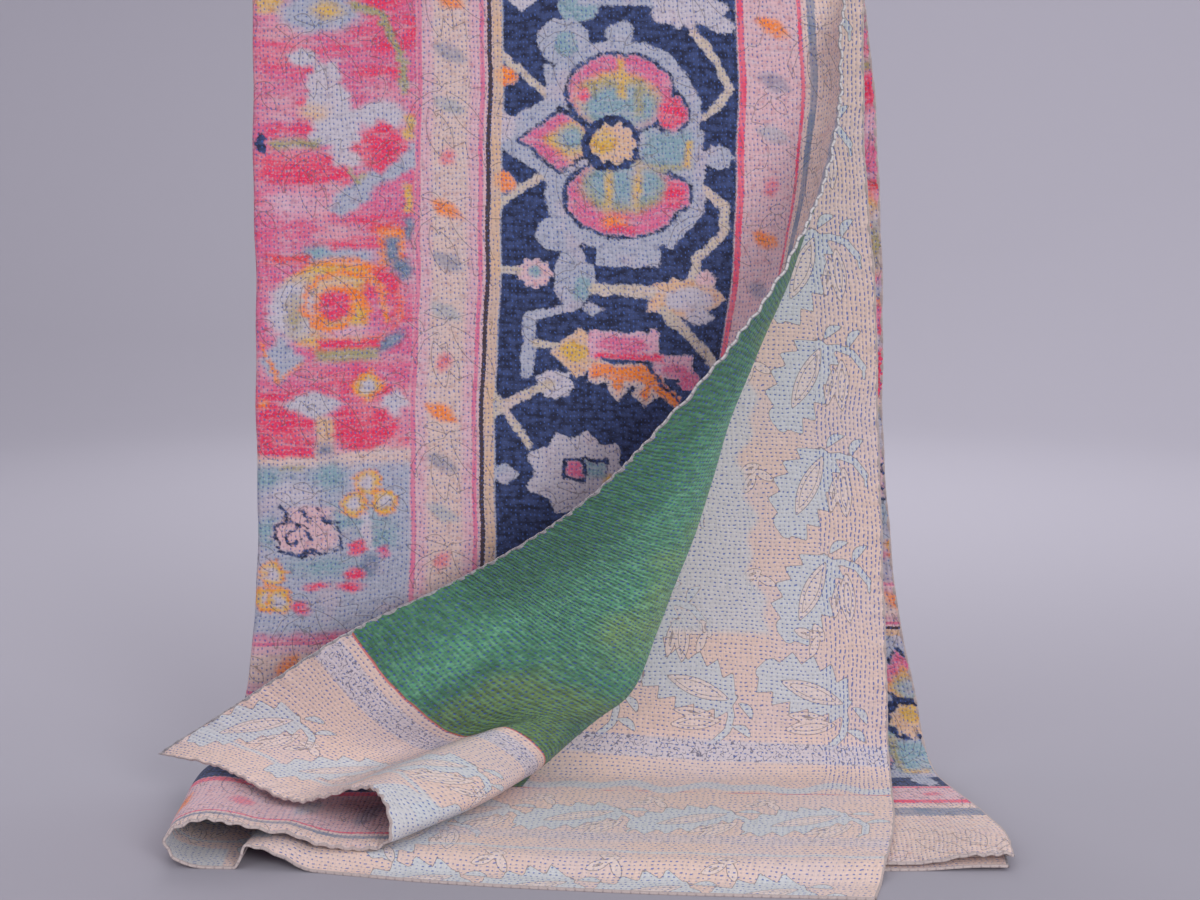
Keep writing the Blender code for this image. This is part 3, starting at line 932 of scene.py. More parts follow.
def paint_guards(brush, edge):
    """The buds of both guards: edge is the distance from the quilt's edge, in metres."""
    for middle, first, lean in GUARDS:
        x = (middle - edge) / STEP_ACROSS
        place = (brush.y - first) / GUARD_STEP
        nearest = np.round(place)
        y = (place - nearest) * GUARD_STEP
        for order, (name, kind, strength) in enumerate(GUARD_BUDS):
            outside = shape_distance(kind, *turned(x, y, lean), *BUD_SIZES[kind])
            outside = np.where(np.mod(nearest, len(GUARD_BUDS)) == order, outside, NOWHERE)
            brush.wash(name, outside, BUD_SOFTNESS, strength)


# %% How far in from the edge a place is
# The front part of the print ends just past the rod.
FRONT_PRINT = 1.3
PRINT_MIDDLE = 0.728
PRINT_WIDENS = 0.071
PRINT_STRAIGHTENS = (0.65, 1.15)
# How far from a hem the places of the long edge's stripes lie: the print is shorter at the ends.
STRIPE_PLACES = (0.0, 0.047, 0.069, 0.142, 0.430, 0.5365, 3.0365)
FRONT_HEM_PLACES = (0.0, 0.020, 0.040, 0.168, 0.345, 0.430, 2.930)
BACK_HEM_PLACES = (0.0, 0.130, 0.180, 0.220, 0.440, 0.505, 3.005)


def from_edge(across, along):
    """How far in from the quilt's edge a place of the print is, and whether the long edge is nearest."""
    widen = 1 + PRINT_WIDENS * (1 - ease(along, *PRINT_STRAIGHTENS)) * (across < WIDTH / 2)
    side = PRINT_MIDDLE - (PRINT_MIDDLE - across) * widen
    side = np.where(along < FRONT_PRINT, np.minimum(side, WIDTH - side), side)
    front_end = np.interp(along, FRONT_HEM_PLACES, STRIPE_PLACES)
    back_end = np.interp(LENGTH - along, BACK_HEM_PLACES, STRIPE_PLACES)
    end = np.minimum(front_end, back_end)
    return np.minimum(side, end), side, side < end


# %% The border on the cloth
ROSETTE_ACROSS = 0.297
ROSETTE_ALONG = 1.041
ROSETTE_FRONT = 0.339
ROSETTE_BACK = 0.617
REPEAT_TOP = -168
# From just before the rod on, the vines run back and forth between two places of the repeat.
MIRROR_FROM = 1.15
MIRROR_RUN = (-152, 350)
DARK_MIDDLE = 0.2865
DARK_HALF = 0.1435


def print_border(across, along, edge, lengthwise, shift):
    """The wide border, with the stripes and guards on its two sides."""
    start = np.where(along < FRONT_PRINT, ROSETTE_FRONT, ROSETTE_BACK)
    run = np.where(lengthwise, (ROSETTE_ALONG - along) / STEP_ALONG, (across - start) / STEP_ACROSS)
    first, last = MIRROR_RUN
    repeated = np.mod(run - REPEAT_TOP, REPEAT) + REPEAT_TOP
    mirrored = last - np.abs(np.mod(run - first, 2 * (last - first)) - (last - first))
    place = np.where(along < MIRROR_FROM, repeated, mirrored)
    brush = Painter((ROSETTE_ACROSS - edge) / STEP_ACROSS + shift[0], place + shift[1], "lilac")
    inward = (edge - DARK_MIDDLE) / STEP_ACROSS
    brush.block_out(shape_distance("block", inward, 0 * edge, DARK_HALF / STEP_ACROSS, FAR))
    paint_border(brush)
    brush.y = run + shift[1]
    for name, low, high, soft in STRIPES:
        brush.wash(name, (np.abs(edge - (low + high) / 2) - (high - low) / 2) / STEP_ACROSS, soft)
    paint_guards(brush, edge)
    return brush


# %% The field on the cloth
FIELD_EDGE = 0.5365
FIELD_SIDE = -197
FIELD_HALF = 163
FIELD_TOP = -152
# Patches of another dye on the pink ground: the dye, its place in the scatter, and its strength.
GROUND_PATCHES = (("hot pink", 6, 0.75), ("rose", 9, 0.6))


def print_field(along, side, knot_x, knot_y, shift):
    """The field, mirrored at its middle and above its first flower."""
    inward = np.clip((side - FIELD_EDGE) / STEP_ACROSS, 0, None)
    weft = wander(knot_x * 0.3, knot_y * 1.1, 5, 1.0, 6.0)
    x = FIELD_SIDE - FIELD_HALF + np.abs(np.mod(inward, 2 * FIELD_HALF) - FIELD_HALF) + shift[0] + weft
    y = (ROSETTE_ALONG - along) / STEP_ALONG + shift[1]
    brush = Painter(x, np.where(y < FIELD_TOP, 2 * FIELD_TOP - y, y), "pink")
    for name, seed, strength in GROUND_PATCHES:
        patches = wander(knot_x * 0.4, knot_y, seed, 7, 2.2) + wander(knot_x * 0.3, knot_y, seed + 1, 2, 1.0)
        brush.colour += (dye(name) - brush.colour) * strength * np.clip(patches, 0, 1)[..., None]
    paint_field(brush)
    return brush


# %% The whole printed face
KNOT = 3.0
KNOT_SHIFT = 2.4
STEP_IN_MM = 1.2


def rug_print(across, along):
    """The dyes of the printed face at flat places, and the distance into the dark dye in millimetres."""
    edge, side, lengthwise = from_edge(across, along)
    knot_x, knot_y = across / STEP_ACROSS / KNOT, along / STEP_ALONG / KNOT
    shift = [
        (scatter(knot_x, knot_y, seed) - 0.5) * KNOT_SHIFT + wander(knot_x, knot_y, seed + 2)
        for seed in (1, 2)
    ]
    border = print_border(across, along, edge, lengthwise, shift)
    field = print_field(along, side, knot_x, knot_y, shift)
    inside = np.clip((edge - FIELD_EDGE) / STEP_ACROSS / 2.5 + 0.5, 0, 1)
    colour = border.colour + (field.colour - border.colour) * inside[..., None]
    dark = np.where(inside > 0.5, field.dark, border.dark)
    return colour, dark * STEP_IN_MM


# %% [markdown]
# ### Leaf sprays on the old cloth
# The lining is pieced from an old cotton with serrated leaves, pale blue on peach, each with a thin brown
# outline. The rug print was laid over the same cloth, so the outlines show through it. The cloth keeps the
# distances to the blue leaves and to the pink petals, and the finish draws fill and outline from them.

# %% Leaf sprays
SPRAY_REACH = 0.095
TOOTH = 23.0
TOOTH_HIGH = 15.0
# The long and the short share of a tooth, and how steep each side is.
TOOTH_SHARES = (0.70, 0.30)
TOOTH_SLOPES = (0.80, 0.38)
# In millimetres about the spray's middle: each stretch of the stem has two ends and a width.
SPRAY_STEM = (
    ((0, 4), (-14, -9), 8),
    ((-14, -9), (-32, -15), 8),
    ((-32, -15), (-52, -10), 8),
    ((-52, -10), (-60, -1), 4),
)
# Each petal has a place, a turn in degrees, and half its length and width.
SPRAY_PETALS = (
    (-6, 42, 101, 40, 11),
    (-44, 22, 128, 31, 9),
    (-35, 32, 116, 24, 6),
    (52, 84, 100, 14, 6),
    (62, 70, 60, 13, 6),
    (44, 66, 10, 15, 5),
)


def crescent(x, y, cx, cy, turn, long, wide):
    """Distance to a curved leaf about a middle, its tips bent to one side."""
    u, v = turned(x - cx, y - cy, turn)
    return shape_distance("leaf", u, v - wide * 0.9 * (u / long) ** 2, long, wide) * 0.85


def spray(x, y):
    """Distances in mm to the blue parts and the pink parts of one spray whose leaf points up."""
    bent = x + 16 * (np.clip(y, 0, 120) / 110) ** 2
    place = y / TOOTH + np.where(bent > 0, 0.0, 0.45)
    share = place - np.floor(place)
    long, short = TOOTH_SHARES
    tooth = np.minimum(share / long, (1 - share) / short)
    half = 25 * np.clip(1 - ((y - 52) / 60) ** 2, 0, 1) ** 0.7
    reach = half + TOOTH_HIGH * tooth * np.clip(half / 12, 0, 1)
    body = np.maximum((np.abs(bent) - reach) * np.where(share < long, *TOOTH_SLOPES), np.abs(y - 54) - 58)
    stem = np.minimum.reduce([stem_distance(x, y, *stretch) for stretch in SPRAY_STEM])
    commas = np.minimum(crescent(x, y, 3, -21, 70, 14, 5), crescent(x, y, -21, -30, 88, 14, 5))
    petals = [
        shape_distance("leaf", *turned(x - cx, y - cy, turn), long, wide) * 0.9
        for cx, cy, turn, long, wide in SPRAY_PETALS
    ]
    return np.minimum.reduce([body, stem, commas]), np.minimum.reduce(petals)


# %% Leaves at every place of the cloth
def leaf_print(across, along, sprays):
    """Distances to the leaves at every crossing of the across and along lines."""
    blue = np.full((len(along), len(across)), FAR)
    pink = np.full_like(blue, FAR)
    for x, y, turn in sprays:
        columns = np.flatnonzero(np.abs(across - x) < SPRAY_REACH * 1.4)
        rows = np.flatnonzero(np.abs(along - y) < SPRAY_REACH * 1.4)
        if not len(columns) or not len(rows):
            continue
        part = np.ix_(rows, columns)
        u, v = np.meshgrid((across[columns] - x) * 1000, (along[rows] - y) * 1000)
        body, petals = spray(*turned(u, v, turn))
        nearer = body < blue[part]
        blue[part] = np.minimum(blue[part], body)
        pink[part] = np.where(nearer | (body > FAR / 3), np.minimum(pink[part], petals), pink[part])
    return blue, pink


def rows_of_sprays(first_across, first_along, pitch_across, pitch_along, columns, rows, turn, stagger=0.5):
    """The place and turn of each spray, every other column a stagger further along."""
    return [
        (first_across + i * pitch_across, first_along + (j + stagger * (i % 2)) * pitch_along, turn)
        for i in range(columns)
        for j in range(rows)
    ]


SHOW_THROUGH = rows_of_sprays(0.04, 0.05, 0.155, 0.140, 10, 18, 128)
# Three columns on the leaf panel, then the rows near the hem.
LINING_ROWS = (
    (1.415, 0.575, 0.2, 0.1255, 1, 7, 143),
    (1.215, 0.520, 0.2, 0.1255, 1, 7, 143),
    (1.120, 0.575, 0.2, 0.1255, 1, 7, 143),
    (1.160, 0.400, 0.135, 0.1, 3, 1, 60, 0),
    (1.075, 0.185, 0.118, 0.1, 4, 1, 105, 0),
    (1.050, 0.015, 0.118, 0.1, 4, 1, 105, 0),
    (0.065, 0.130, 0.135, 0.1, 8, 1, 143, 0),
)
LINING_SPRAYS = [place for row in LINING_ROWS for place in rows_of_sprays(*row)]
print(len(SHOW_THROUGH), "sprays under the rug print and", len(LINING_SPRAYS), "on the lining")

# %% The stalk, the bands and the pale lines
# The pale stalk between two columns of sprays on the leaf panel, in millimetres.
STALK_MIDDLE = 1268
STALK_HALF = 58
STALK_ENDS = (485, 1400)
STALK_FADE = 6
STALK_SHOWN = 0.9
# Each band and line: its left and right end across the cloth, its two distances from the hem in metres,
# and a band's strength.
SCROLL_BANDS = (
    (1.03, 1.50, 0.327, 0.352, 1.0),
    (0.74, 1.50, 0.100, 0.120, 0.5),
    (0.00, 0.74, 0.205, 0.236, 1.0),
)
PALE_LINES = (
    (0.74, 1.50, 0.070, 0.073),
    (0.00, 0.74, 0.052, 0.056),
    (0.74, 1.50, 0.258, 0.276),
    (0.38, 0.80, -0.02, 0.050),
)


def stalk(across, along):
    """1 on the pale stalk and 0 beside it, with a soft edge."""
    u, v = np.meshgrid(across * 1000, along * 1000)
    half = STALK_HALF + 7 * np.sin(v / 19) + 5 * np.sin(v / 7.5)
    beside = np.abs(u - STALK_MIDDLE - 8 * np.sin(v / 60)) - half
    beyond = np.maximum(STALK_ENDS[0] - v, v - STALK_ENDS[1])
    return ease(-np.maximum(beside, beyond), -STALK_FADE, STALK_FADE)


def between(place, low, high):
    """1 between two places and 0 beyond them, with 2 mm of fade."""
    return ease(place, low - 0.002, low) * (1 - ease(place, high, high + 0.002))


def lining_bands(across, along):
    """How far each place is in a lavender scroll band, and on a pale line."""
    u, v = np.meshgrid(across, along)
    from_hem = np.minimum(v, LENGTH - v)
    scroll, line = np.zeros_like(u), np.zeros_like(u)
    for left, right, low, high, strength in SCROLL_BANDS:
        scroll += (u > left) * (u < right) * strength * between(from_hem, low, high)
    for left, right, low, high in PALE_LINES:
        waves = (0.004 * np.sin(u * 52) + 0.004 * np.sin(u * 87 + 1)) * min(1.5, (high - low) / 0.012)
        line += (u > left) * (u < right) * between(from_hem + waves, low, high)
    return scroll, line


# %% [markdown]
# ## Finishes
# Each finish is a node material that reads the cloth's own UV map in metres. A helper makes a node, sets
# its inputs and links what is handed to it, so that a finish reads from top to bottom like a recipe.

# %% Node helper
class Finish:
    """A node material, built by naming nodes and what goes into them."""

    def __init__(self, name):
        self.material = bpy.data.materials.new(name)
        self.material.use_nodes = True
        self.tree = self.material.node_tree
        self.shader = self.tree.nodes["Principled BSDF"]

    def node(self, kind, settings=None, **inputs):
        made = self.tree.nodes.new("ShaderNode" + kind)
        for name, value in (settings or {}).items():
            setattr(made, name, value)
        for name, value in inputs.items():
            self.feed(made.inputs[int(name[1:]) if name[0] == "_" else name.replace("_", " ")], value)
        return made

    def feed(self, socket, value):
        if isinstance(value, bpy.types.NodeSocket):
            self.tree.links.new(value, socket)
        else:
            socket.default_value = value

    def flat_place(self):
        """The flat place on the cloth, in metres."""
        return self.node("UVMap", {"uv_map": "cloth"}).outputs[0]

    def kept_ink(self, name):
        """The four numbers that the cloth keeps under a name."""
        ink = self.node("Attribute", {"attribute_name": name})
        return (*self.node("SeparateColor", Color=ink.outputs["Color"]).outputs, ink.outputs["Alpha"])

    def math(self, operation, *values):
        made = self.node("Math", {"operation": operation})
        for socket, value in zip(made.inputs, values):
            self.feed(socket, value)
        return made.outputs[0]

    def times(self, first, second):
        return self.math("MULTIPLY", first, second)

    def plus(self, first, second):
        return self.math("ADD", first, second)

    def apart(self, first, second):
        """How far two values are from each other."""
        return self.math("ABSOLUTE", self.math("SUBTRACT", first, second))

    def slope(self, value, low, high, out_low=0.0, out_high=1.0):
        """A soft step from out_low at low to out_high at high."""
        ends = {"From_Min": low, "From_Max": high, "To_Min": out_low, "To_Max": out_high}
        made = self.node("MapRange", {"interpolation_type": "SMOOTHSTEP"}, Value=value, **ends)
        return made.outputs["Result"]

    def scaled(self, colour, shade):
        """A colour, lighter or darker."""
        return self.node("VectorMath", {"operation": "SCALE"}, _0=colour, Scale=shade).outputs[0]

    def mix(self, share, first, second, blend="MIX"):
        made = self.node("Mix", {"data_type": "RGBA", "blend_type": blend, "clamp_factor": True})
        self.feed(made.inputs["Factor"], share)
        for socket, value in ((made.inputs[6], first), (made.inputs[7], second)):
            self.feed(socket, value if isinstance(value, bpy.types.NodeSocket) else (*value, 1.0))
        return made.outputs[2]

    def noise(self, place, scale, detail=2.0, stretch=(1.0, 1.0, 1.0)):
        place = self.node("Mapping", Vector=place, Scale=stretch).outputs[0]
        flat = {"noise_dimensions": "2D"}
        return self.node("TexNoise", flat, Vector=place, Scale=scale, Detail=detail).outputs[0]

    def relief(self, height, depth):
        """Raises and lowers the surface by up to a depth, in metres."""
        bump = self.node("Bump", Height=height, Distance=depth, Strength=1.0)
        self.feed(self.shader.inputs["Normal"], bump.outputs[0])


# %% [markdown]
# ### Running stitches
# Rows of small stitches, a little uneven: a row number picks each row's start, and slow noise lets the rows
# wander. Along the lining's free edge the rows turn to run with the edge. The thread pulls the layers
# together, so the cloth dips along each row and puffs up between rows.

# %% Running stitches
ROW_PITCH = 0.0050
STITCH_PITCH = 0.0060
STITCH_WIDTH = 0.0015
ROWS_TURN = 1.405
ROW_WANDER = 0.014
ROW_SHAKE = 0.0024


def running_stitches(finish, place, length=0.0020, lengthwise=False, edge_rows=False):
    """Masks of the stitches and of the puffed cloth between them."""
    parts = finish.node("SeparateXYZ", Vector=place)
    run, cross = (parts.outputs[1], parts.outputs[0]) if lengthwise else (parts.outputs[0], parts.outputs[1])
    if edge_rows:
        near_edge = finish.slope(run, ROWS_TURN, ROWS_TURN + 0.0001)
        gap = finish.times(finish.math("SUBTRACT", cross, run), near_edge)
        run, cross = finish.plus(run, gap), finish.math("SUBTRACT", cross, gap)
    slow = finish.times(finish.noise(place, 9.0, 1.0), ROW_WANDER)
    quick = finish.noise(place, 110.0, 0.0)
    cross = finish.plus(finish.plus(cross, slow), finish.times(quick, ROW_SHAKE))
    row = finish.math("DIVIDE", cross, ROW_PITCH)
    number = finish.math("FLOOR", row)
    aside = finish.apart(finish.math("SUBTRACT", row, number), 0.5)
    start = finish.node("TexWhiteNoise", {"noise_dimensions": "1D"}, W=number).outputs[0]
    dash = finish.plus(finish.math("DIVIDE", run, STITCH_PITCH), finish.times(start, 0.6))
    dash = finish.plus(dash, finish.times(quick, 0.6))
    ahead = finish.apart(finish.math("FRACT", dash), 0.5)
    each = finish.node("CombineXYZ", X=number, Y=finish.math("FLOOR", dash)).outputs[0]
    luck = finish.node("TexWhiteNoise", {"noise_dimensions": "2D"}, Vector=each).outputs[0]
    aside_metres = finish.times(aside, ROW_PITCH)
    thin = finish.slope(aside_metres, STITCH_WIDTH * 0.3, STITCH_WIDTH * 0.7, 1.0, 0.0)
    reach = finish.times(ahead, finish.slope(luck, 0.0, 1.0, STITCH_PITCH * 1.5, STITCH_PITCH * 0.8))
    if edge_rows:
        reach = finish.times(reach, finish.slope(near_edge, 0.0, 1.0, 1.0, 0.62))
    short = finish.slope(reach, length * 0.34, length * 0.66, 1.0, 0.0)
    between_rows = finish.times(finish.slope(aside, 0.0, 0.5), 0.62)
    between_stitches = finish.times(finish.slope(ahead, 0.0, 0.5), 0.38)
    stitch = finish.times(finish.times(thin, short), finish.slope(luck, 0.0, 0.6, 0.45, 1.0))
    return stitch, finish.plus(between_rows, between_stitches)


# %% [markdown]
# ### Worn cotton
# Both faces are plain cotton, washed soft: faint threads both ways, small crumples and almost no shine. The
# threads could be modelled, but they are far finer than the cloth's points, so stretched noise shades them.

# %% Cotton, shared by both faces
THREAD = (0.066, 0.135, 0.45)


def cotton(finish, place, colour, stitch, puff, relief=0.0005, valley_shade=0.93, shown=0.75):
    """Adds the weave, the thread and painted shade in the puckers' valleys to a colour, and joins them with
    the puckers' relief to the shader.
    """
    fibre = finish.noise(place, 900.0, 2.0)
    weft = finish.noise(place, 260.0, 2.0, (0.18, 3.2, 1.0))
    warp = finish.noise(place, 260.0, 2.0, (3.2, 0.18, 1.0))
    worn = finish.plus(finish.times(weft, 0.5), finish.times(warp, 0.5))
    # Painted shade: the cloth is darker in the valleys along the stitch rows.
    painted_valley_shade = finish.slope(puff, 0.0, 0.6, valley_shade, 1.03)
    shade = finish.times(finish.slope(worn, 0.25, 0.75, 0.90, 1.10), painted_valley_shade)
    dyed = finish.mix(finish.times(stitch, shown), finish.scaled(colour, shade), THREAD)
    finish.feed(finish.shader.inputs["Base Color"], dyed)
    crumple = finish.noise(place, 85.0, 2.0)
    swell = finish.noise(place, 26.0, 2.0)
    height = finish.times(puff, finish.slope(crumple, 0.2, 0.8, 0.45, 1.2))
    height = finish.plus(height, crumple)
    height = finish.plus(height, finish.times(swell, 1.4))
    height = finish.math("SUBTRACT", height, finish.times(stitch, 0.5))
    height = finish.plus(height, finish.times(fibre, 0.10))
    finish.relief(height, relief)
    finish.feed(finish.shader.inputs["Roughness"], finish.slope(fibre, 0.2, 0.8, 0.86, 0.97))
    finish.shader.inputs["Sheen Weight"].default_value = 0.12
    finish.shader.inputs["Sheen Roughness"].default_value = 0.6
    finish.shader.inputs["Specular IOR Level"].default_value = 0.25
    return finish.material


def outline(finish, distance, half_width):
    """A thin line where a distance passes zero, in millimetres."""
    return finish.slope(finish.math("ABSOLUTE", distance), half_width * 0.5, half_width * 1.5, 1.0, 0.0)


# %% [markdown]
# ### The printed face's finish
# The rug print has faded in patches, with pale specks. The cloth's own dyes come first, then noise lightens
# them. The dark dye and the fine stripes could be stored too, but cut from distances they get sharper edges.

# %% The printed face's finish
DEEP_NAVY = (0.018, 0.022, 0.054)
WORN_NAVY = (0.052, 0.075, 0.190)
DARK_LINE_DYE = (0.022, 0.015, 0.026)
SHOWN_THROUGH = (0.12, 0.10, 0.10)
RAGGED = 0.0035
RAGGED_DARK = 950.0


def stripe(finish, edge, low, high):
    """A band between two distances from the quilt's edge, ragged by the noise already in edge."""
    off = finish.apart(edge, (low + high) / 2)
    half = (high - low) / 2
    return finish.slope(off, half - 0.0006, half + 0.0006, 1.0, 0.0)


def rug_finish():
    finish = Finish("rug_printed_cotton")
    place = finish.flat_place()
    dyes = finish.node("Attribute", {"attribute_name": "dyes"})
    blue_leaf, pink_leaf, from_quilt_edge, _ = finish.kept_ink("sari")
    knots = finish.noise(place, 330.0, 1.0)
    streak = finish.noise(place, 75.0, 3.0, (0.45, 2.0, 1.0))
    blotch = finish.noise(place, 24.0, 3.0)
    mottle = finish.noise(place, 120.0, 2.0)
    ragged = finish.times(finish.math("SUBTRACT", knots, 0.5), RAGGED)
    edge = finish.plus(from_quilt_edge, ragged)
    colour = finish.mix(finish.slope(streak, 0.46, 0.80, 0.0, 0.40), dyes.outputs["Color"], dye("pale lilac"))
    colour = finish.mix(finish.slope(blotch, 0.50, 0.80, 0.0, 0.30), colour, dye("rose"))
    colour = finish.mix(finish.slope(mottle, 0.50, 0.80, 0.0, 0.55), colour, colour, "MULTIPLY")
    colour = finish.mix(finish.slope(knots, 0.50, 0.80, 0.0, 0.45), colour, dye("pale lilac"))
    for name, low, high in FINE_STRIPES:
        share = finish.times(stripe(finish, edge, low, high), finish.slope(blotch, 0.3, 0.6, 0.9, 0.65))
        colour = finish.mix(share, colour, dye(name))
    dark = finish.slope(finish.plus(dyes.outputs["Alpha"], finish.times(ragged, RAGGED_DARK)), -1.2, 1.5)
    patchy = finish.plus(finish.times(streak, 0.45), finish.times(mottle, 0.55))
    navy = finish.mix(finish.slope(patchy, 0.36, 0.66), DEEP_NAVY, WORN_NAVY)
    colour = finish.mix(dark, colour, navy)
    colour = finish.mix(finish.times(stripe(finish, edge, *DARK_LINE), 0.93), colour, DARK_LINE_DYE)
    lines = finish.math("MAXIMUM", outline(finish, blue_leaf, 0.5), outline(finish, pink_leaf, 0.5))
    pale = finish.times(lines, finish.slope(dark, 0.0, 1.0, 0.55, 0.0))
    colour = finish.mix(pale, colour, SHOWN_THROUGH)
    stitch, puff = running_stitches(finish, place, lengthwise=True)
    return cotton(finish, place, colour, stitch, puff)


# %% [markdown]
# ### The lining's finishes
# The lining is leaf print with brown outlines and scribbled lavender bands, and a faded green panel with
# painted shade and light on it. The leaves could be painted like the rug, but each part has one colour, so
# distances are enough.

# %% The leaf print's finish
OLD_PEACH = (0.72, 0.565, 0.535)
PETAL_PEACH = (0.76, 0.625, 0.585)
BROWN_LINE = (0.15, 0.115, 0.12)
LAVENDER = (0.61, 0.56, 0.625)
SCRIBBLE = (0.10, 0.10, 0.17)
VEIN_INSET = 4.2


def lining_finish(name, length, edge_rows):
    finish = Finish(name)
    place = finish.flat_place()
    blue_leaf, pink_leaf, band, pale_line = finish.kept_ink("sari")
    blue, petal = (finish.slope(leaf, -0.5, 0.3, 1.0, 0.0) for leaf in (blue_leaf, pink_leaf))
    lines = finish.math("MAXIMUM", outline(finish, blue_leaf, 0.42), outline(finish, pink_leaf, 0.42))
    lines = finish.math("MAXIMUM", lines, outline(finish, finish.plus(pink_leaf, VEIN_INSET), 0.35))
    tendrils = finish.math("FRACT", finish.times(finish.noise(place, 105.0, 1.0), 3.5))
    curl = finish.slope(finish.apart(tendrils, 0.5), 0.05, 0.14, 1.0, 0.0)
    curl = finish.times(curl, finish.slope(finish.noise(place, 200.0, 0.0), 0.30, 0.44))
    blotch = finish.noise(place, 9.0, 2.0)
    colour = finish.mix(finish.slope(blotch, 0.35, 0.70), dye("sari peach"), OLD_PEACH)
    for mask, share, tint in (
        (blue, 0.92, dye("leaf grey")),
        (petal, 0.85, PETAL_PEACH),
        (lines, 0.66, BROWN_LINE),
        (band, 0.8, LAVENDER),
        (finish.times(curl, band), 0.8, SCRIBBLE),
        (pale_line, 0.85, dye("leaf grey")),
    ):
        colour = finish.mix(finish.times(mask, share), colour, tint)
    colour = seam_line(finish, place, colour)
    stitch, puff = running_stitches(finish, place, length, edge_rows=edge_rows)
    return cotton(finish, place, colour, stitch, puff, 0.0004, 0.96, 0.85)


# %% The red seam
SEAM = 0.25
SEAM_RED = (0.62, 0.085, 0.10)
SEAM_SHOWN = 0.70


def seam_line(finish, place, colour):
    """Red thread in the seam between the panel and the hem border, broken in the under layer."""
    parts = finish.node("SeparateXYZ", Vector=place)
    waver = finish.times(finish.math("SUBTRACT", finish.noise(place, 30.0, 1.0), 0.5), 0.004)
    off = finish.apart(finish.plus(parts.outputs[1], waver), SEAM)
    line = finish.slope(off, 0.0008, 0.0018, 1.0, 0.0)
    broken = finish.slope(finish.noise(place, 18.0, 2.0, (1.0, 0.05, 1.0)), 0.42, 0.60)
    turned_over = finish.slope(parts.outputs[0], 0.45, 0.50, 1.0, 0.0)
    shown = finish.times(line, finish.math("MAXIMUM", broken, turned_over))
    return finish.mix(finish.times(shown, SEAM_SHOWN), colour, SEAM_RED)


# %% The green panel's finish
GREEN = (0.092, 0.272, 0.158)
FADED_GREEN = (0.190, 0.325, 0.135)
RUBBED_GREEN = (0.20, 0.42, 0.27)


def green_finish():
    finish = Finish("green_cotton")
    place = finish.flat_place()
    parts = finish.node("SeparateXYZ", Vector=place)
    # The olive fade is a real one, but it is held back near the free edge so that the edge stays darker, as
    # painted shade.
    fade_and_edge_shade = finish.slope(finish.slope(parts.outputs[0], 0.02, 0.28), 0.05, 0.8, 0.78, 1.14)
    blotch = finish.times(finish.noise(place, 7.0, 2.0), fade_and_edge_shade)
    mottle = finish.noise(place, 150.0, 3.0)
    ground = finish.mix(finish.slope(blotch, 0.40, 0.62), GREEN, FADED_GREEN)
    ground = finish.mix(finish.slope(mottle, 0.40, 0.75, 0.0, 0.55), ground, RUBBED_GREEN)
    # Painted shade and light on the fine crinkles: dark in their valleys, lighter on their ridges.
    crinkle_shade = finish.noise(place, 150.0, 2.0, (0.28, 1.5, 1.0))
    # Painted shade and light: darker towards the hem, where the fold shades it, except along the free edge;
    # darker along the free edge itself and lighter beyond it.
    hem_shade = finish.slope(parts.outputs[1], 0.30, 0.44, 0.66, 1.0)
    painted_light_and_shade = finish.math("MAXIMUM", hem_shade, finish.slope(parts.outputs[0], 0.08, 0.20, 1.0, 0.0))
    painted_light_and_shade = finish.times(painted_light_and_shade, finish.slope(parts.outputs[0], 0.035, 0.10, 0.70, 1.17))
    painted_light_and_shade = finish.times(painted_light_and_shade, finish.slope(crinkle_shade, 0.38, 0.60, 0.80, 1.10))
    colour = seam_line(finish, place, finish.scaled(ground, painted_light_and_shade))
    stitch, puff = running_stitches(finish, place, 0.0022)
    return cotton(finish, place, colour, stitch, puff, 0.0014, 0.82, 0.95)


# %% [markdown]
# ## Cutting the cloths
# The printed face is one cloth, cut here at the fold and at the rod so that no piece gets too heavy. The
# lining is pieced: a green panel, a panel of leaf print along the under layer's free edge, and a hem border
# of leaf print at each end, sewn on with a red seam.

# %% The printed face
FOLD_CUT = 0.756
ROD_CUT = 1.272
# From here on the cloth bends over the rod, so its rows lie close there.
BEND_START = 1.235


def inked(name, across, along, material, rug=False):
    """A cloth with its dyes and leaves stored on its points: the rug print outside, or the lining."""
    piece = cloth_piece(name, across, along, 1 if rug else -1)
    blue, pink = leaf_print(across, along, SHOW_THROUGH if rug else LINING_SPRAYS)
    if rug:
        places = np.meshgrid(across, along)
        band, line = from_edge(*places)[0], np.zeros_like(blue)
        colour, dark = rug_print(*places)
        keep_ink(piece, "dyes", np.concatenate([colour, dark[..., None]], axis=-1))
    else:
        band, line = lining_bands(across, along)
        line = np.maximum(line, stalk(across, along) * (blue > 0) * STALK_SHOWN)
    keep_ink(piece, "sari", np.stack([blue, pink, band, line], axis=-1))
    piece.data.materials.append(material)
    hang(piece)
    return piece


rug_cotton = rug_finish()
outer_across = lines((0.0, 0.0032), (0.715, 0.0018), (FOLD_CUT, 0))
under_across = lines((FOLD_CUT, 0.009), (1.34, 0.004), (WIDTH, 0))
front_along = lines((0.0, 0.0032), (BEND_START, 0.0028), (ROD_CUT, 0))
under_along = lines((0.0, 0.006), (BEND_START, 0.003), (ROD_CUT, 0))
back_along = lines((ROD_CUT, 0.0028), (1.32, 0.0042), (LENGTH, 0))
inked("printed_cloth_front", outer_across, front_along, rug_cotton, rug=True)
inked("printed_cloth_front_under", under_across, under_along, rug_cotton, rug=True)
inked("printed_cloth_back", outer_across, back_along, rug_cotton, rug=True)
inked("printed_cloth_back_under", under_across, back_along, rug_cotton, rug=True)

# %% The pieced lining
LEAF_PANEL = 1.08
LINING_CUT = 1.32

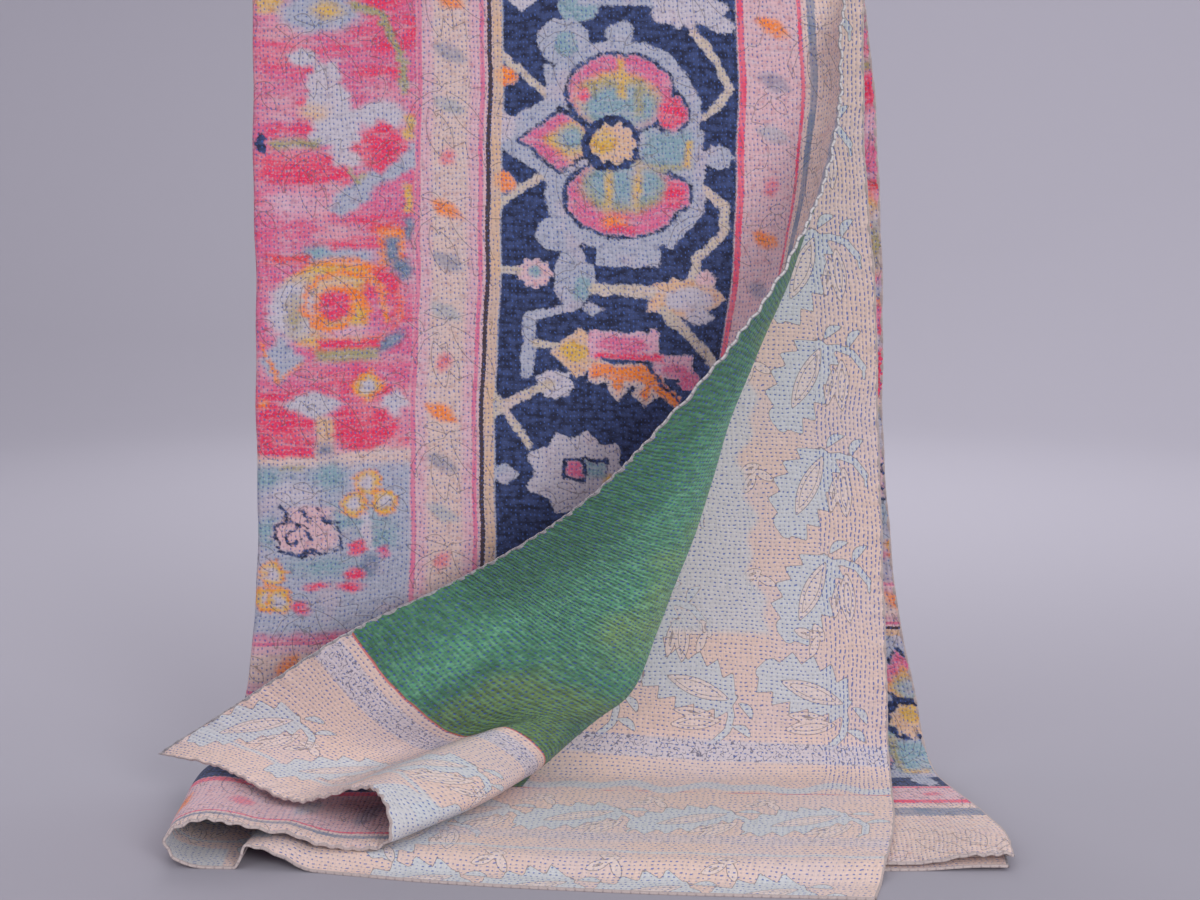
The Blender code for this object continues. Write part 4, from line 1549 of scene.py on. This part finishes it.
leaf_cotton = lining_finish("leaf_printed_cotton", 0.0022, True)
hem_cotton = lining_finish("hem_border_cotton", 0.0021, False)
green_cotton = green_finish()
green_across = lines((0.0, 0.004), (0.46, 0.010), (0.70, 0.003), (0.77, 0.012), (LEAF_PANEL, 0))
leaf_across = lines((LEAF_PANEL, 0.0028), (WIDTH, 0))
hem_across = lines((0.0, 0.0036), (0.70, 0.003), (0.77, 0.0036), (WIDTH, 0))
whole_across = lines((0.0, 0.012), (0.70, 0.003), (0.77, 0.012), (WIDTH, 0))
green_along = lines((SEAM, 0.0042), (BEND_START, 0.0028), (LINING_CUT, 0))
leaf_along = lines((SEAM, 0.0028), (BEND_START, 0.003), (LINING_CUT, 0))
green_back_along = lines((LINING_CUT, 0.008), (LENGTH - SEAM, 0))
inked("green_panel", green_across, green_along, green_cotton)
inked("leaf_panel", leaf_across, leaf_along, leaf_cotton)
inked("leaf_hem_front", hem_across, lines((0.0, 0.0030), (SEAM, 0)), hem_cotton)
inked("green_panel_back", whole_across, green_back_along, green_cotton)
inked("leaf_hem_back", whole_across, lines((LENGTH - SEAM, 0.005), (LENGTH, 0)), hem_cotton)

# %% [markdown]
# ## The turned edge
# All round, the cloths are turned in and whipped with pale thread, which draws the edge into small
# scallops. It is a narrow strip bent round the edge: its rows follow the edge, its columns go round it.

# %% Points along an edge
HEM_LAP = 0.0020
SCALLOP = 0.0095
# Places round the edge: how far out from the cloth's edge, and how far to the printed side.
EDGE_SECTION = ((-1.6, 0.75), (-0.55, 1.03), (-0.1, 1.06), (0.22, 0.75), (0.36, 0.0))
EDGE_SECTION += tuple((reach, -side) for reach, side in EDGE_SECTION[-2::-1])
EDGE_COLUMN = 0.0015
EDGE_MIDDLE = EDGE_COLUMN * (len(EDGE_SECTION) - 1) / 2


def unit(ways):
    return ways / np.linalg.norm(ways, axis=1, keepdims=True)


def edge_points(across, along, outward):
    """The points of one edge, and at each the way out of the cloth and the way to its printed side."""
    inner = np.stack([across - outward[0] * 0.002, along - outward[1] * 0.002], axis=-1)
    if outward[0]:
        both = np.array([place_row([u, w], v) for (w, _), u, v in zip(inner, across, along)])
        points, beside = both[:, 0], both[:, 1]
    else:
        points, beside = place_row(across, along[0]), place_row(across, inner[0, 1])
    points, beside = sway(points + FOOTPRINT_SHIFT), sway(beside + FOOTPRINT_SHIFT)
    out = unit(points - beside)
    up = unit(np.cross(np.gradient(points, axis=0), out))
    drawn = pucker(across, along)[:, None] * ease(points[:, 2:], *OFF_THE_FLOOR)
    return points - up * drawn, out, up


# %% The turned edge
def turned_edge(name, across, along, outward, material):
    """A strip round one edge. across and along give its places, outward the flat way out of the cloth."""
    points, out, up = edge_points(across, along, outward)
    length = np.append(0, np.cumsum(np.linalg.norm(np.diff(points, axis=0), axis=1)))
    swell = 0.72 + 0.5 * np.abs(np.sin(math.pi * length / SCALLOP + 0.6 * np.sin(length * 31)))
    columns = []
    for reach, side in EDGE_SECTION:
        grown = np.where(reach > 0, swell, 1.0)[:, None]
        columns.append(points + out * reach * HEM_LAP * grown + up * side * FACE_LIFT * (0.9 + 0.15 * grown))
    flat = np.stack(np.meshgrid(np.arange(len(EDGE_SECTION)) * EDGE_COLUMN, length), axis=-1)
    piece = grid_piece(name, np.stack(columns, axis=1), {"cloth": flat})
    piece.data.materials.append(material)
    hang(piece)
    return piece


def edge_finish(name, cloth_colour, gap_shade_colour):
    """Pale thread over the very edge, with painted shade, a darker copy of the cloth, in the gap between two
    scallops.
    """
    finish = Finish(name)
    place = finish.flat_place()
    parts = finish.node("SeparateXYZ", Vector=place)
    thread = finish.slope(finish.math("PINGPONG", parts.outputs[1], SCALLOP / 2), 0.0, 0.0016)
    round_edge = finish.apart(parts.outputs[0], EDGE_MIDDLE)
    # Towards the strip's sides the thread gives way to the painted shade as well.
    thread = finish.times(thread, finish.slope(round_edge, 0.0004, 0.0024, 1.0, 0.30))
    colour = finish.mix(thread, gap_shade_colour, cloth_colour)
    fuzz = finish.noise(place, 700.0, 2.0)
    # Fuzz darkens it at random towards the same colour.
    colour = finish.mix(finish.slope(fuzz, 0.4, 0.8, 0.0, 0.5), colour, gap_shade_colour)
    finish.feed(finish.shader.inputs["Base Color"], colour)
    finish.relief(finish.plus(thread, finish.times(fuzz, 0.6)), 0.0005)
    finish.shader.inputs["Roughness"].default_value = 0.92
    return finish.material


# %% The four edges
EDGE_ROWS = 1150
HEM_ROWS = 700

# Each edge: the colour of its pale thread, then a darker copy of it as painted shade for the gaps and sides.
pale_edge = edge_finish("whipped_edge_cotton", (0.62, 0.585, 0.59), (0.25, 0.235, 0.26))
hem_edge = edge_finish("hem_edge_cotton", (0.62, 0.52, 0.49), (0.44, 0.36, 0.36))
edge_run = np.linspace(0.0, LENGTH, EDGE_ROWS)
hem_run = np.linspace(0.0, WIDTH, HEM_ROWS)
turned_edge("turned_edge_outer", np.zeros(EDGE_ROWS), edge_run, (-1, 0), pale_edge)
turned_edge("turned_edge_under", np.full(EDGE_ROWS, WIDTH), edge_run[::-1], (1, 0), hem_edge)
turned_edge("turned_hem_front", hem_run[::-1], np.zeros(HEM_ROWS), (0, -1), hem_edge)
turned_edge("turned_hem_back", hem_run, np.full(HEM_ROWS, LENGTH), (0, 1), hem_edge)


# %% [markdown]
# ## The studio
# A roll of pale paper runs from the floor up into a soft curve all round, so that no horizon shows from any
# side. It is a profile of a few points, spun about the middle. The light is broad and soft, and the window's
# cone is narrow, so that it throws no glow on the floor beyond the quilt.

# %% Floor and backdrop
STUDIO_FLOOR = 3.4
STUDIO_CURVE = 1.8
STUDIO_HEIGHT = 3.4
PAPER = (0.372, 0.354, 0.412, 1.0)


def studio():
    bowl = bmesh.new()
    curve = [
        (STUDIO_FLOOR + STUDIO_CURVE * math.sin(turn), STUDIO_CURVE * (1 - math.cos(turn)))
        for turn in np.linspace(0, math.pi / 2, 13)
    ]
    places = [(0, 0), *curve, (STUDIO_FLOOR + STUDIO_CURVE, STUDIO_HEIGHT)]
    profile = [bowl.verts.new((x, 0, z)) for x, z in places]
    rim = [bowl.edges.new(pair) for pair in zip(profile, profile[1:])]
    whole_turn = {"axis": (0, 0, 1), "cent": (0, 0, 0), "angle": 2 * math.pi}
    bmesh.ops.spin(bowl, geom=profile + rim, steps=96, use_merge=True, **whole_turn)
    bmesh.ops.remove_doubles(bowl, verts=bowl.verts, dist=1e-5)
    bmesh.ops.recalc_face_normals(bowl, faces=bowl.faces)
    mesh = bpy.data.meshes.new("studio_paper")
    bowl.to_mesh(mesh)
    bowl.free()
    mesh.shade_smooth()
    return put_in_scene("studio_paper", mesh)


paper = Finish("studio_paper")
paper.shader.inputs["Base Color"].default_value = PAPER
paper.shader.inputs["Roughness"].default_value = 0.95
backdrop = studio()
backdrop.data.materials.append(paper.material)
print("the backdrop has", len(backdrop.data.polygons), "faces")

# %% Light
# Each lamp: its place, the point it faces, its size in metres, its watts and its cone in degrees.
LAMPS = {
    "window": ((1.7, -2.9, 1.5), (0, 0, 0.5), 1.6, 16.6, 90),
    "left_fill": ((-2.4, -2.2, 1.4), (0, 0, 0.4), 2.0, 14, 180),
    "behind": ((-0.6, 2.6, 2.4), (0, 0, 0.5), 2.0, 22, 180),
    "on_the_backdrop": ((1.2, 1.4, 3.2), (0.9, 5.2, 1.2), 2.4, 90, 180),
}

air = bpy.data.worlds.new("studio_air")
air.use_nodes = True
sky = air.node_tree.nodes["Background"].inputs
sky["Color"].default_value = (0.97, 0.97, 1.0, 1.0)
sky["Strength"].default_value = 0.82
bpy.context.scene.world = air


def soft_light(name, place, aim, size, watts, cone):
    light = bpy.data.lights.new(name, "AREA")
    light.shape = "DISK"
    light.size = size
    light.energy = watts
    light.spread = math.radians(cone)
    lamp = put_in_scene(name, light)
    lamp.location = place
    lamp.rotation_euler = (Vector(aim) - Vector(place)).to_track_quat("-Z", "Y").to_euler()


for name, lamp in LAMPS.items():
    soft_light(name, *lamp)
print(len(LAMPS), "lamps")

# %% [markdown]
# ## The camera
# It stands in front at the height of the quilt's upper half and looks slightly down. The plain Standard view
# keeps the dyes as they were mixed.

# %% Camera
LENS = 50
SENSOR = 36
CAMERA_PLACE = (0.0354, -1.7986, 0.702)
LOOKING_DOWN = math.radians(8.63)

camera = bpy.data.cameras.new("camera")
camera.lens = LENS
camera.sensor_width = SENSOR
viewer = put_in_scene("camera", camera)
viewer.location = CAMERA_PLACE
viewer.rotation_euler = (math.pi / 2 - LOOKING_DOWN, 0, 0)
bpy.context.scene.camera = viewer
bpy.context.scene.view_settings.view_transform = "Standard"
print("the camera stands", -CAMERA_PLACE[1], "m in front and looks slightly down")
